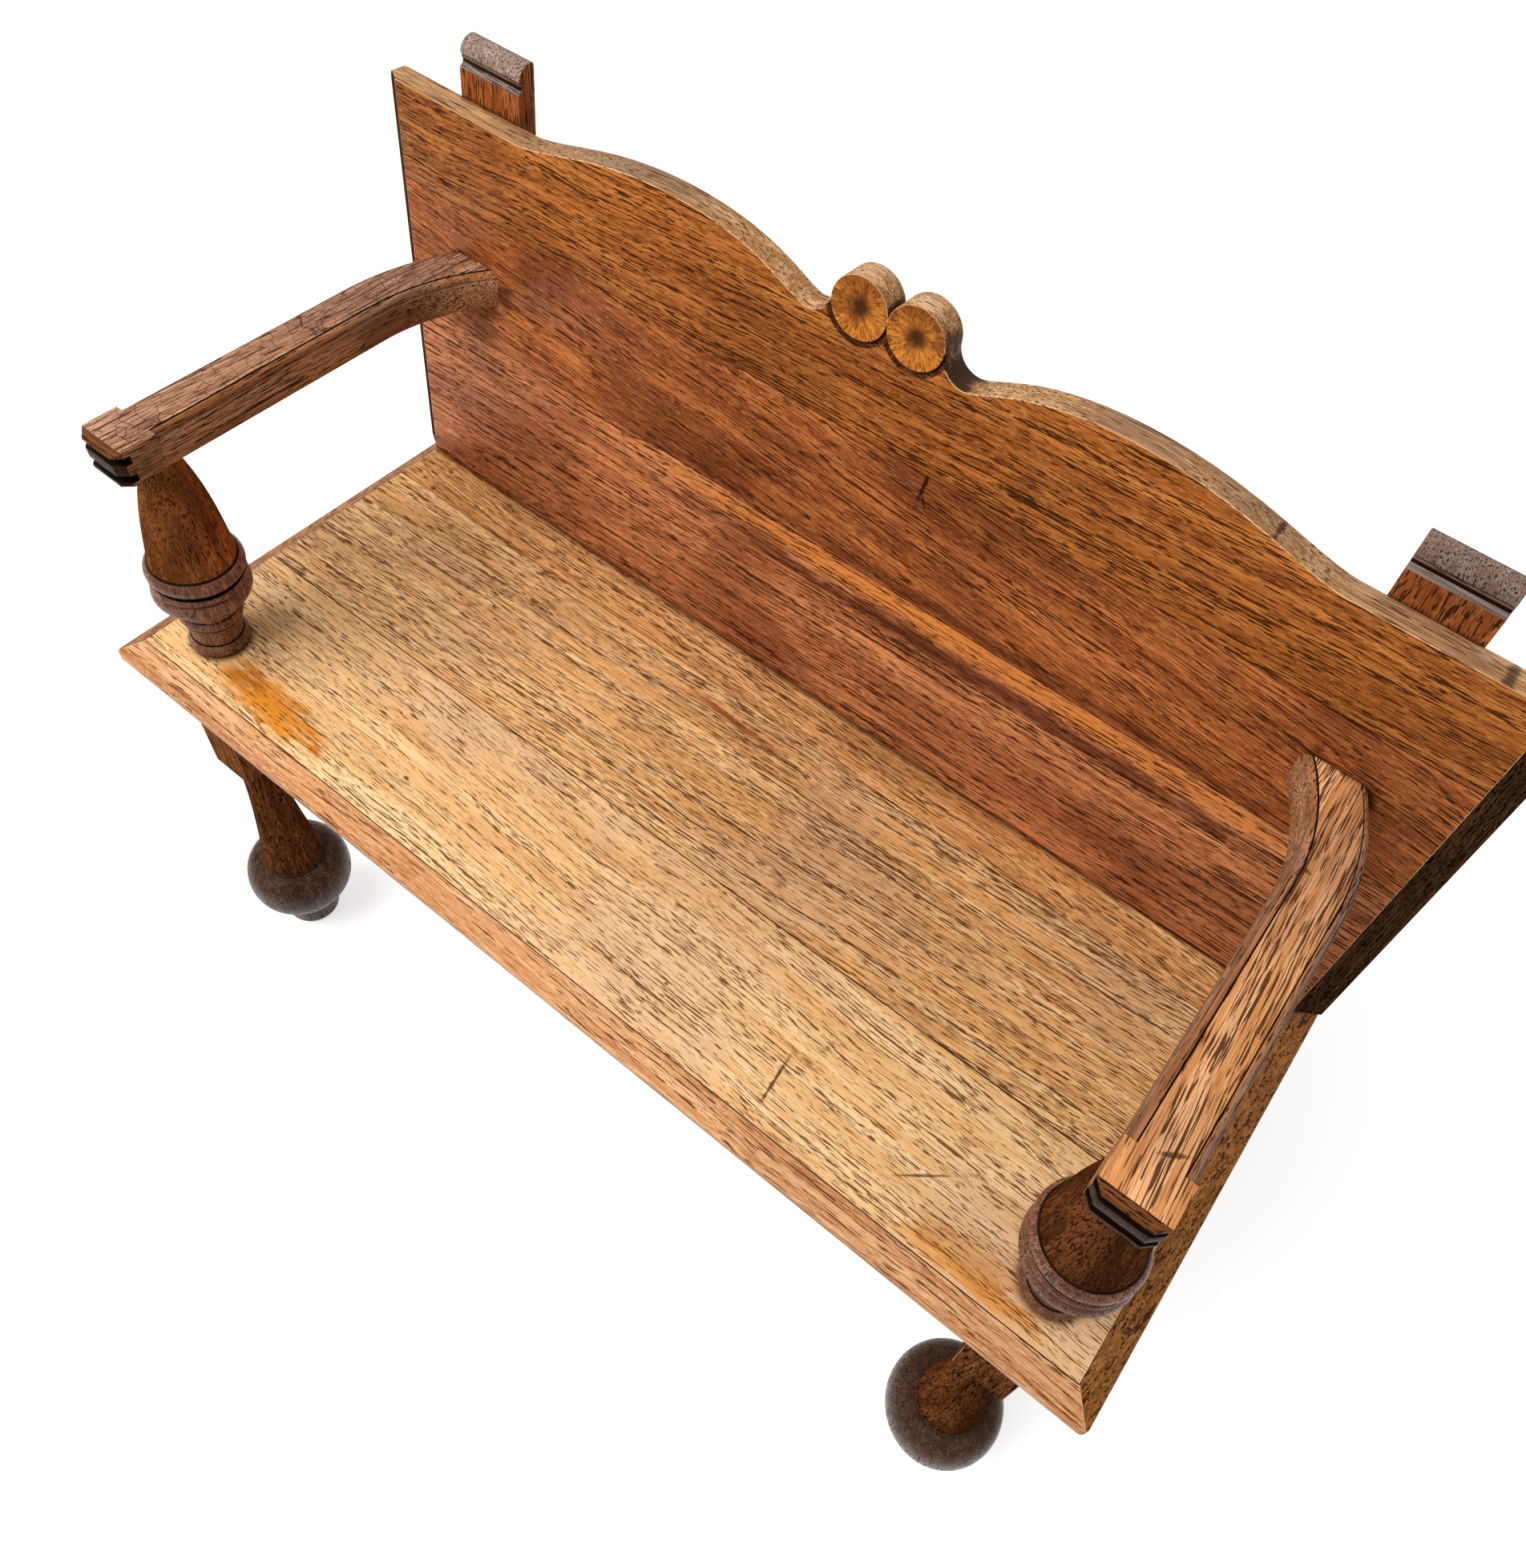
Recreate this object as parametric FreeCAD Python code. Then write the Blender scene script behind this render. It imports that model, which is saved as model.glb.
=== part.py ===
import FreeCAD, Part
import math
import os

# A small oak bench with a shaped back, level arms and turned front legs.
# Heights below are measured from the top of the seat, and y from the front
# edge of the seat's flat; the finished pieces are then stood on the floor.

# Seat
seat_height = 468.0
board_thick = 23.0
seat_flat_half = 486.0
seat_flat_depth = 344.5
seat_joint_1 = 139.5
seat_joint_2 = 298.0
front_bevel_run = 20.0
end_bevel_run = 21.0
bevel_drop = 14.0
bevel_quirk = 1.2
seat_corner_r = 5.0

# Back
back_rake = 3.27
back_joint_1 = 173.0
back_joint_2 = 294.5
back_shoulder_u = 376.0
back_shoulder_x = 354.0
back_crest_u = 403.0
back_crest_x = 193.5
back_corner_r = 12.0
disc_r = 24.0
disc_x = 23.8
disc_u = 393.3
cove_r = 19.3
cove_ease = 15.0
crest_inner_ease = 85.0
crest_outer_ease = 80.0
shoulder_ease = 32.0
dish_depth = 2.2
dish_rim = 1.0
gouge_width = 4.0
gouge_depth = 3.2

# Rear posts
post_inset = 39.5
post_width = 64.0
post_thick = 18.0
post_head_u = 421.5
head_nose_h = 12.6
head_bead_h = 2.4
head_bead_gap = 0.8
head_fillet = 3.4
head_step = 3.2
nose_set_back = 1.2
nose_crown_n = 4.8
nose_crown_h = 8.8
nose_rear_r = 3.0

# Arms
arm_inset = 6.2
arm_width = 43.5
arm_top = 251.0
arm_thick = 32.0
arm_front_y = 9.0
arm_block_y = 45.0
arm_bend_y = 257.0
arm_bend_r = 195.0
arm_bend_sweep = 42.0
arm_flat_width = 29.5
arm_quirk_width = 1.0
arm_quirk_depth = 2.2
arm_ridge_drop = 0.6
arm_ridge_foot = 6.3
arm_fillet = 1.5
arm_side_drop = 7.2
arm_nose_width = 46.0
arm_corner_cut = 7.0
arm_nose_back = 6.8
arm_nose_drop = 4.4
nose_lip = 0.8
nose_groove = 7.0
nose_fillet = 9.5
nose_groove_depth = 4.0

# Arm supports
support_foot_inset = 1.2
support_foot_y = 44.0
support_lean_in = 5.8
support_lean_back = 6.4
support_tenon_r = 10.0
support_tenon_len = 17.0
base_r = 25.8
base_h = 13.5
base_edge_r = 22.8
base_step_r = 1.2
base_step_h = 1.0
ring_r = 27.4
ring_edge_r = 26.0
ring_z = 41.5
ring_half = 4.5
ring_sweep = 10.0
bead_r = 40.8
bead_edge_r = 36.5
bead_z = 72.5
bead_half = 8.5
bead_sweep = 7.0
bead_quirk = 0.8
small_bead_r = 39.4
small_bead_edge_r = 37.4
small_bead_half = 3.0
bead_gap_r = 35.2
bead_gap = 1.6
upper_bead_r = 40.2
upper_bead_edge_r = 36.4
upper_bead_half = 7.5
bulb_gap = 1.5
bulb_foot_r = 34.8
bulb_foot_ease = 19.0
bulb_shoulder_r = 32.0
bulb_waist_r = 29.5
bulb_waist_drop = 53.0
bulb_neck_r = 16.0
bulb_neck_drop = 13.0
bulb_head_r = 15.3

# Front legs
leg_inset = 45.0
leg_y = 28.6
leg_block = 47.4
block_bottom = -170.0
leg_neck_r = 15.0
leg_neck_h = 6.0
leg_cove_h = 8.0
leg_cove_r = 15.4
column_top_r = 16.5
column_top_ease = 41.0
column_flare_r = 23.0
column_flare_h = 65.0
column_foot_r = 31.0
column_foot_z = -350.0
collar_r = 31.8
collar_crown = 0.6
collar_h = 3.0
bun_r = 54.5
bun_shoulder_in = 5.0
bun_upper_ease = 17.0
bun_lower_ease = 18.0
bun_widest_z = -385.0
bun_foot_z = -424.0
bun_heel_in = 8.0
bun_heel_h = 9.0
toe_fillet = 2.5
toe_fillet_h = 5.0
toe_r = 28.5
toe_edge_r = 10.0
spigot_r = 12.0
spigot_len = 30.0

# Rear legs and rails
rear_leg_foot = 38.0
rail_depth = 85.0
rail_thick = 22.0
front_rail_y = 12.0
side_rail_inset = 3.0
rear_gap = 0.4
tenon_thick = 10.0
tenon_len = 20.0
tenon_shoulder = 10.0

# Glue blocks under the seat
glue_block_len = 60.0
glue_block_side = 22.0

# Fixings
dowel_r = 4.0
dowel_len = 40.0
foot_dowel_rise = 20.0
foot_dowel_drop = 14.0
screw_shank_r = 2.2
screw_head_r = 4.4
screw_head_h = 3.0
screw_tip = 4.0
screw_tip_r = 0.4
screw_slot = 1.0
screw_slot_depth = 1.2
seat_dowel_inset = 66.0
seat_dowel_count = 5
back_dowel_inset = 26.0
back_dowel_count = 7
foot_dowel_inset = 186.0
foot_dowel_count = 4
glue_block_inset = 226.0
glue_block_count = 3
post_screw_low = 60.0
post_screw_pitch = 80.0
post_screw_drop = 36.0
arm_screw_out = 7.5
arm_screw_grip = 35.0
board_grip = 14.0
round_clearance = 0.2
flat_clearance = 0.2

# Worked out from the sizes above
seat_half = seat_flat_half + end_bevel_run
leg_x = seat_flat_half - leg_inset
post_x = leg_x - post_inset
arm_x = leg_x - arm_inset
support_foot_x = leg_x - support_foot_inset
arm_bottom = arm_top - arm_thick
rake_tan = math.tan(math.radians(back_rake))
back_rear_y = seat_flat_depth + board_thick / math.cos(math.radians(back_rake))
rail_bottom = -board_thick - rail_depth
rear_leg_back_y = back_rear_y + rail_bottom * rake_tan - rear_gap
rear_leg_y = rear_leg_back_y - leg_block / 2
side_rail_x = leg_x + leg_block / 2 - side_rail_inset - rail_thick / 2
far = 2000.0


def vec(x, y, z):
    return FreeCAD.Vector(x, y, z)


def outline(points):
    """Closed straight-sided face through the points."""
    return Part.Face(Part.makePolygon(points + points[:1]))


def spread(inset, count):
    """Places evenly spaced along the bench, the outer two inset from the ends of the seat's flat."""
    reach = seat_flat_half - inset
    return [reach * (2 * i / (count - 1) - 1) for i in range(count)]


def block(x0, x1, y0, y1, z0, z1):
    """Rectangular block between two corners."""
    return Part.makeBox(x1 - x0, y1 - y0, z1 - z0, vec(x0, y0, z0))


def line(a, b):
    return Part.LineSegment(a, b).toShape()


def arc(a, mid, b):
    return Part.Arc(a, mid, b).toShape()


def bezier(*poles):
    curve = Part.BezierCurve()
    curve.setPoles(list(poles))
    return curve.toShape()


def mirrored(shape):
    """The same piece on the other side of the bench."""
    return shape.mirror(vec(0, 0, 0), vec(1, 0, 0))


def both_sides(shape):
    return [mirrored(shape), shape]


def lean_back(shape):
    """Turn a shape drawn upright at y = 0 to the rake of the back, on the seat."""
    turned = shape.copy()
    turned.rotate(vec(0, 0, 0), vec(1, 0, 0), -back_rake)
    turned.translate(vec(0, seat_flat_depth, 0))
    return turned


def behind_back():
    """All the space behind the rear face of the back."""
    return lean_back(block(-far, far, board_thick, far, -far, far))


def bevel_section(edge, outer, drop):
    """Waste beside a bevelled edge: across, then down from the face."""
    over = 5.0
    return [(edge, -over), (edge, bevel_quirk), (outer, drop), (outer + over, drop), (outer + over, -over)]


# Seat boards

def seat_blank():
    """The whole seat, bevelled on its front and both ends, its rear edge raked."""
    r = seat_corner_r
    front = -front_bevel_run
    rear = back_rear_y + 1.0
    h = seat_half
    k = r * (1 - math.sqrt(0.5))
    low = -board_thick
    edges = [
        line(vec(h, rear, low), vec(-h, rear, low)),
        line(vec(-h, rear, low), vec(-h, front + r, low)),
        arc(vec(-h, front + r, low), vec(-h + k, front + k, low), vec(-h + r, front, low)),
        line(vec(-h + r, front, low), vec(h - r, front, low)),
        arc(vec(h - r, front, low), vec(h - k, front + k, low), vec(h, front + r, low)),
        line(vec(h, front + r, low), vec(h, rear, low)),
    ]
    blank = Part.Face(Part.Wire(edges)).extrude(vec(0, 0, board_thick))
    front_waste = [vec(-far, -a, -d) for a, d in bevel_section(0.0, front_bevel_run, bevel_drop)]
    blank = blank.cut(outline(front_waste).extrude(vec(2 * far, 0, 0)))
    end_waste = [vec(a, -far, -d) for a, d in bevel_section(seat_flat_half, seat_half, bevel_drop)]
    end = outline(end_waste).extrude(vec(0, 2 * far, 0))
    return blank.cut([end, mirrored(end), behind_back()])


def seat_boards():
    """Three boards cut from the blank along its two glued joints."""
    blank = seat_blank()
    cuts = [-far, seat_joint_1, seat_joint_2, far]
    return [blank.common(block(-far, far, a, b, -far, far)) for a, b in zip(cuts, cuts[1:])]


# Back boards, drawn upright with their front face at y = 0

def back_top_edge():
    """Half of the shaped top edge, from the notch between the discs to the end."""
    notch = math.sqrt(disc_r ** 2 - disc_x ** 2)
    half_turn = math.atan2(notch, -disc_x) / 2
    cove_x = disc_x + disc_r + cove_r
    cove_u = disc_u - cove_r
    q = cove_r * math.sqrt(0.5)
    k = back_corner_r * (1 - math.sqrt(0.5))
    top = back_shoulder_u
    return [
        arc(vec(0, 0, disc_u + notch),
            vec(disc_x + disc_r * math.cos(half_turn), 0, disc_u + disc_r * math.sin(half_turn)),
            vec(disc_x + disc_r, 0, disc_u)),
        arc(vec(disc_x + disc_r, 0, disc_u), vec(cove_x - q, 0, disc_u - q), vec(cove_x, 0, cove_u)),
        bezier(vec(cove_x, 0, cove_u), vec(cove_x + cove_ease, 0, cove_u),
               vec(back_crest_x - crest_inner_ease, 0, back_crest_u), vec(back_crest_x, 0, back_crest_u)),
        bezier(vec(back_crest_x, 0, back_crest_u), vec(back_crest_x + crest_outer_ease, 0, back_crest_u),
               vec(back_shoulder_x - shoulder_ease, 0, top), vec(back_shoulder_x, 0, top)),
        line(vec(back_shoulder_x, 0, top), vec(seat_half - back_corner_r, 0, top)),
        arc(vec(seat_half - back_corner_r, 0, top), vec(seat_half - k, 0, top - k),
            vec(seat_half, 0, top - back_corner_r)),
    ]


def disc_carving():
    """Waste of both discs: a dished face and a gouged crescent below it."""
    face_r = disc_r - dish_rim
    ball_r = (face_r ** 2 + dish_depth ** 2) / (2 * dish_depth)
    dish = Part.makeSphere(ball_r, vec(disc_x, dish_depth - ball_r, disc_u))
    section = outline([vec(disc_x + disc_r, -1, disc_u), vec(disc_x + disc_r, gouge_depth, disc_u),
                       vec(disc_x + disc_r + gouge_width, 0, disc_u),
                       vec(disc_x + disc_r + gouge_width, -1, disc_u)])
    ring = section.revolve(vec(disc_x, 0, disc_u), vec(0, 1, 0), 360)
    lower_half = block(-far, far, -far, far, -far, disc_u)
    other_disc = Part.makeCylinder(disc_r, 10, vec(-disc_x, -5, disc_u), vec(0, 1, 0))
    crescent = ring.common(lower_half).cut(other_disc)
    return both_sides(dish) + both_sides(crescent)


def back_blank():
    """The whole back, with its shaped top, carved discs and bevelled ends."""
    right = back_top_edge()
    low = -5.0
    foot = [line(vec(seat_half, 0, back_shoulder_u - back_corner_r), vec(seat_half, 0, low)),
            line(vec(seat_half, 0, low), vec(-seat_half, 0, low)),
            line(vec(-seat_half, 0, low), vec(-seat_half, 0, back_shoulder_u - back_corner_r))]
    left = [mirrored(edge) for edge in right]
    wire = Part.Wire(Part.__sortEdges__(right + foot + left))
    blank = Part.Face(wire).extrude(vec(0, board_thick, 0))
    end_waste = [vec(a, d, -far) for a, d in bevel_section(seat_flat_half, seat_half, bevel_drop)]
    end = outline(end_waste).extrude(vec(0, 0, 2 * far))
    return blank.cut([end, mirrored(end)] + disc_carving())


def back_boards():
    """Three boards of the back, raked, the lowest one cut level to stand on the seat."""
    blank = back_blank()
    cuts = [-far, back_joint_1, back_joint_2, far]
    boards = [lean_back(blank.common(block(-far, far, -far, far, a, b))) for a, b in zip(cuts, cuts[1:])]
    boards[0] = boards[0].cut(block(-far, far, -far, far, -far, 0))
    return boards


# Rear posts, drawn upright behind the back

def rear_post():
    """Flat post behind the back, from the rear rail up to its moulded head."""
    foot = rail_bottom / math.cos(math.radians(back_rake))
    top = post_head_u
    nose = top - head_nose_h
    groove = nose - head_bead_gap - head_bead_h
    ledge = groove - head_step
    depth = head_fillet
    bead_r = head_bead_h / 2
    rear_r = nose_rear_r
    k = rear_r * (1 - math.sqrt(0.5))
    x0 = post_x - post_width / 2

    def at(n, u):
        return vec(x0, board_thick + n, u)

    edges = [
        line(at(0, foot), at(0, ledge - depth)),
        line(at(0, ledge - depth), at(depth, ledge)),
        line(at(depth, ledge), at(depth, groove)),
        arc(at(depth, groove), at(depth - bead_r, groove + bead_r), at(depth, groove + head_bead_h)),
        line(at(depth, groove + head_bead_h), at(depth + head_bead_gap, nose)),
        line(at(depth + head_bead_gap, nose), at(nose_set_back, nose)),
        arc(at(nose_set_back, nose), at(nose_crown_n, nose + nose_crown_h), at(post_thick - rear_r, top)),
        arc(at(post_thick - rear_r, top), at(post_thick - k, top - k), at(post_thick, top - rear_r)),
        line(at(post_thick, top - rear_r), at(post_thick, foot)),
        line(at(post_thick, foot), at(0, foot)),
    ]
    blank = Part.Face(Part.Wire(edges)).extrude(vec(post_width, 0, 0))
    return lean_back(blank).cut(block(-far, far, -far, far, -far, rail_bottom))


# Arms

def arm_section(y):
    """Section across the arm: a flat top between two rounded ridges, each set off by a quirk and a fillet."""
    half = arm_width / 2
    flat = arm_flat_width / 2
    ridge_in = flat + arm_quirk_width
    ridge_out = half - arm_fillet
    ridge_k = 1 - math.sqrt(0.5)

    def at(across, drop):
        return vec(arm_x + across, y, arm_top - drop)

    middle = at(ridge_out - (ridge_out - ridge_in) * ridge_k,
                arm_ridge_drop + (arm_ridge_foot - arm_ridge_drop) * ridge_k)
    right = [
        line(at(0, 0), at(flat, 0)),
        line(at(flat, 0), at(flat, arm_quirk_depth)),
        line(at(flat, arm_quirk_depth), at(ridge_in, arm_ridge_drop)),
        arc(at(ridge_in, arm_ridge_drop), middle, at(ridge_out, arm_ridge_foot)),
        line(at(ridge_out, arm_ridge_foot), at(ridge_out, arm_side_drop)),
        line(at(ridge_out, arm_side_drop), at(half, arm_side_drop)),
        line(at(half, arm_side_drop), at(half, arm_thick)),
        line(at(half, arm_thick), at(0, arm_thick)),
    ]
    left = [edge.mirror(vec(arm_x, 0, 0), vec(1, 0, 0)) for edge in right]
    return Part.Face(Part.Wire(Part.__sortEdges__(right + left)))


def nose_plan(inset):
    """Plan of the arm's blunt nose, its front and cut corners set in by an inset."""
    half = arm_nose_width / 2
    front = arm_front_y + inset
    cut_x = half - arm_corner_cut - inset * (math.sqrt(2) - 1)
    cut_y = arm_front_y + arm_corner_cut + inset * math.sqrt(2)
    plan = [(half, arm_block_y), (-half, arm_block_y), (-half, cut_y), (-cut_x, front),
            (cut_x, front), (half, cut_y)]
    return outline([vec(arm_x + a, y, arm_bottom) for a, y in plan])


def nose_grooves():
    """Waste of the two grooves that run across the nose and round its cut corners."""
    ring = nose_plan(0).cut(nose_plan(nose_groove_depth))
    first = arm_thick - arm_nose_drop - nose_lip - nose_groove
    lows = (first, first - nose_fillet - nose_groove)
    return [ring.extrude(vec(0, 0, nose_groove)).translated(vec(0, 0, low)) for low in lows]


def arm():
    """Level arm, straight from its nose and then bent inwards to the back."""
    straight = arm_section(arm_block_y).extrude(vec(0, arm_bend_y - arm_block_y, 0))
    front = arm_front_y
    turn_at = vec(arm_x - arm_bend_r, arm_bend_y, 0)
    bend = arm_section(arm_bend_y).revolve(turn_at, vec(0, 0, 1), arm_bend_sweep)
    nose = nose_plan(0).extrude(vec(0, 0, arm_thick))
    over = 1.0
    slope_foot = arm_top - arm_nose_drop
    slope = [(front + arm_nose_back, arm_top), (front, slope_foot), (front - over, slope_foot),
             (front - over, arm_top + over), (front + arm_nose_back, arm_top + over)]
    slope_waste = outline([vec(-far, y, z) for y, z in slope]).extrude(vec(2 * far, 0, 0))
    nose = nose.cut([slope_waste] + nose_grooves())
    whole = straight.fuse([bend, nose]).removeSplitter()
    return whole.cut(lean_back(block(-far, far, 0, far, -far, far)))


# Arm supports

def support_profile():
    """Half outline of the turned support, from the seat to the arm."""
    over = 4.0
    top = arm_bottom
    step_r = base_edge_r - base_step_r
    step_z = base_h + base_step_h
    ring_low = ring_z - ring_half
    ring_high = ring_z + ring_half
    bead_low = bead_z - bead_half
    bead_high = bead_z + bead_half
    small_low = bead_high + bead_quirk
    small_high = small_low + 2 * small_bead_half
    gap_z = small_high + bead_gap
    upper_low = gap_z + bead_gap
    upper_high = upper_low + 2 * upper_bead_half
    bulb_low = upper_high + bulb_gap
    neck_z = top - bulb_neck_drop

    def at(radius, z):
        return vec(radius, 0, z)

    return [
        line(at(0, -over), at(base_edge_r, -over)),
        line(at(base_edge_r, -over), at(base_edge_r, 0)),
        arc(at(base_edge_r, 0), at(base_r, base_h / 2), at(base_edge_r, base_h)),
        line(at(base_edge_r, base_h), at(step_r, step_z)),
        bezier(at(step_r, step_z), at(step_r, ring_low - ring_sweep / 2),
               at(ring_edge_r, ring_low - ring_sweep / 2), at(ring_edge_r, ring_low)),
        arc(at(ring_edge_r, ring_low), at(ring_r, ring_z), at(ring_edge_r, ring_high)),
        bezier(at(ring_edge_r, ring_high), at(ring_edge_r, bead_low - bead_sweep),
               at(bead_edge_r - bead_sweep, bead_low - bead_sweep), at(bead_edge_r, bead_low)),
        arc(at(bead_edge_r, bead_low), at(bead_r, bead_z), at(small_bead_edge_r, bead_high)),
        line(at(small_bead_edge_r, bead_high), at(small_bead_edge_r, small_low)),
        arc(at(small_bead_edge_r, small_low), at(small_bead_r, small_low + small_bead_half),
            at(small_bead_edge_r, small_high)),
        line(at(small_bead_edge_r, small_high), at(bead_gap_r, gap_z)),
        line(at(bead_gap_r, gap_z), at(upper_bead_edge_r, upper_low)),
        arc(at(upper_bead_edge_r, upper_low), at(upper_bead_r, upper_low + upper_bead_half),
            at(upper_bead_edge_r, upper_high)),
        line(at(upper_bead_edge_r, upper_high), at(bulb_foot_r, bulb_low)),
        bezier(at(bulb_foot_r, bulb_low), at(bulb_shoulder_r, bulb_low + bulb_foot_ease),
               at(bulb_waist_r, top - bulb_waist_drop), at(bulb_neck_r, neck_z)),
        line(at(bulb_neck_r, neck_z), at(bulb_head_r, top)),
        line(at(bulb_head_r, top), at(bulb_head_r, top + over)),
        line(at(bulb_head_r, top + over), at(0, top + over)),
        line(at(0, top + over), at(0, -over)),
    ]


def on_support_axis(shape):
    """Move a shape drawn on the z axis onto the leaning axis of the support."""
    run = vec(-support_lean_in, support_lean_back, arm_bottom)
    placed = shape.copy()
    turn = FreeCAD.Rotation(vec(0, 0, 1), run)
    placed.Placement = FreeCAD.Placement(vec(support_foot_x, support_foot_y, 0), turn)
    return placed


def support_pins(extra):
    """Round tenons at both ends of the support, or their bores when extra is a clearance."""
    reach = support_tenon_len + extra
    pins = Part.makeCylinder(support_tenon_r + extra, arm_bottom + 2 * reach, vec(0, 0, -reach))
    return on_support_axis(pins)


def arm_support():
    body = Part.Face(Part.Wire(support_profile())).revolve(vec(0, 0, 0), vec(0, 0, 1), 360)
    body = on_support_axis(body).common(block(-far, far, -far, far, 0, arm_bottom))
    return body.fuse(support_pins(0)).removeSplitter()


# Front legs

def front_leg():
    """Square block for the rails above a turned column that widens downwards."""
    half = leg_block / 2
    root = block_bottom + leg_neck_h
    neck = block_bottom - leg_neck_h
    top = neck - leg_cove_h
    foot = column_foot_z
    square = block(-half, half, -half, half, block_bottom, -board_thick)

    def at(radius, z):
        return vec(radius, 0, z)

    edges = [
        line(at(0, root), at(leg_neck_r, root)),
        line(at(leg_neck_r, root), at(leg_neck_r, neck)),
        arc(at(leg_neck_r, neck), at(leg_cove_r, neck - leg_cove_h / 2), at(column_top_r, top)),
        bezier(at(column_top_r, top), at(column_top_r, top - column_top_ease),
               at(column_flare_r, foot + column_flare_h), at(column_foot_r, foot)),
        line(at(column_foot_r, foot), at(0, foot)),
        line(at(0, foot), at(0, root)),
    ]
    column = Part.Face(Part.Wire(edges)).revolve(vec(0, 0, 0), vec(0, 0, 1), 360)
    spigot = Part.makeCylinder(spigot_r, spigot_len + 1.0, vec(0, 0, foot - spigot_len))
    leg = square.fuse([column, spigot]).removeSplitter()
    leg.translate(vec(leg_x, leg_y, 0))
    return leg


def bun_foot():
    """Flattened bun on a short toe, bored for the spigot of the leg."""
    top = column_foot_z
    collar_low = top - collar_h
    wide = bun_widest_z
    toe_top = bun_foot_z - toe_fillet_h
    floor = -seat_height
    edge = toe_edge_r
    k = edge * (1 - math.sqrt(0.5))

    def at(radius, z):
        return vec(radius, 0, z)

    edges = [
        line(at(0, top), at(collar_r, top)),
        arc(at(collar_r, top), at(collar_r + collar_crown, top - collar_h / 2), at(collar_r, collar_low)),
        bezier(at(collar_r, collar_low), at(bun_r - bun_shoulder_in, collar_low),
               at(bun_r, wide + bun_upper_ease), at(bun_r, wide)),
        bezier(at(bun_r, wide), at(bun_r, wide - bun_lower_ease),
               at(bun_r - bun_heel_in, bun_foot_z + bun_heel_h), at(toe_r + toe_fillet, bun_foot_z)),
        bezier(at(toe_r + toe_fillet, bun_foot_z), at(toe_r, bun_foot_z - toe_fillet), at(toe_r, toe_top)),
        line(at(toe_r, toe_top), at(toe_r, floor + edge)),
        arc(at(toe_r, floor + edge), at(toe_r - k, floor + k), at(toe_r - edge, floor)),
        line(at(toe_r - edge, floor), at(0, floor)),
        line(at(0, floor), at(0, top)),
    ]
    bun = Part.Face(Part.Wire(edges)).revolve(vec(0, 0, 0), vec(0, 0, 1), 360)
    depth = spigot_len + flat_clearance
    bore = Part.makeCylinder(spigot_r + round_clearance, depth + 1.0, vec(0, 0, top - depth))
    foot = bun.cut(bore)
    foot.translate(vec(leg_x, leg_y, 0))
    return foot


# Rear legs and rails

def square_wire(side, z):
    h = side / 2
    corners = [vec(-h, -h, z), vec(h, -h, z), vec(h, h, z), vec(-h, h, z)]
    return Part.makePolygon(corners + corners[:1])


def rear_leg():
    """Plain square leg, tapered below the rails."""
    h = leg_block / 2
    upper = block(-h, h, -h, h, rail_bottom, -board_thick)
    ends = [square_wire(leg_block, rail_bottom), square_wire(rear_leg_foot, -seat_height)]
    lower = Part.makeLoft(ends, True)
    leg = upper.fuse(lower).removeSplitter()
    leg.translate(vec(leg_x, rear_leg_y, 0))
    return leg


def tenon_span(grow):
    """Lower and upper height of a tenon, or of its mortise when it grows."""
    return rail_bottom + tenon_shoulder - grow, -board_thick - tenon_shoulder + grow


def cross_tenon(mid_y, grow):
    """Tenon at the right end of a rail that runs across the bench."""
    x0 = leg_x - leg_block / 2
    low, high = tenon_span(grow)
    half = tenon_thick / 2 + grow
    return block(x0 - 1.0, x0 + tenon_len + grow, mid_y - half, mid_y + half, low, high)


def side_tenon(shoulder_y, way, grow):
    """Tenon at one end of a side rail; way is +1 towards the rear and -1 towards the front."""
    low, high = tenon_span(grow)
    half = tenon_thick / 2 + grow
    ends = sorted([shoulder_y - way, shoulder_y + way * (tenon_len + grow)])
    return block(side_rail_x - half, side_rail_x + half, ends[0], ends[1], low, high)


front_tenon_y = front_rail_y + rail_thick / 2
rear_tenon_y = rear_leg_back_y - rail_thick / 2
front_shoulder_y = leg_y + leg_block / 2
rear_shoulder_y = rear_leg_back_y - leg_block


def cross_rail(y0, y1, tenon_y):
    """Rail between two legs, with a tenon at each end."""
    x1 = leg_x - leg_block / 2
    rail = block(-x1, x1, y0, y1, rail_bottom, -board_thick)
    return rail.fuse(both_sides(cross_tenon(tenon_y, 0))).removeSplitter()


def front_rail():
    return cross_rail(front_rail_y, front_rail_y + rail_thick, front_tenon_y)


def rear_rail():
    """Rear rail, its back planed to the rake so that the posts lie flat on it."""
    inner = rear_leg_back_y - rail_thick
    return cross_rail(inner, back_rear_y + 1.0, rear_tenon_y).cut(behind_back())


def side_rail():
    half = rail_thick / 2
    rail = block(side_rail_x - half, side_rail_x + half, front_shoulder_y, rear_shoulder_y,
                 rail_bottom, -board_thick)
    tenons = [side_tenon(front_shoulder_y, -1, 0), side_tenon(rear_shoulder_y, 1, 0)]
    return rail.fuse(tenons).removeSplitter()


def front_mortises():
    grow = flat_clearance
    return [cross_tenon(front_tenon_y, grow), side_tenon(front_shoulder_y, -1, grow)]


def rear_mortises():
    grow = flat_clearance
    return [cross_tenon(rear_tenon_y, grow), side_tenon(rear_shoulder_y, 1, grow)]


# Glue blocks in the corner between the rails and the seat

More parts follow.
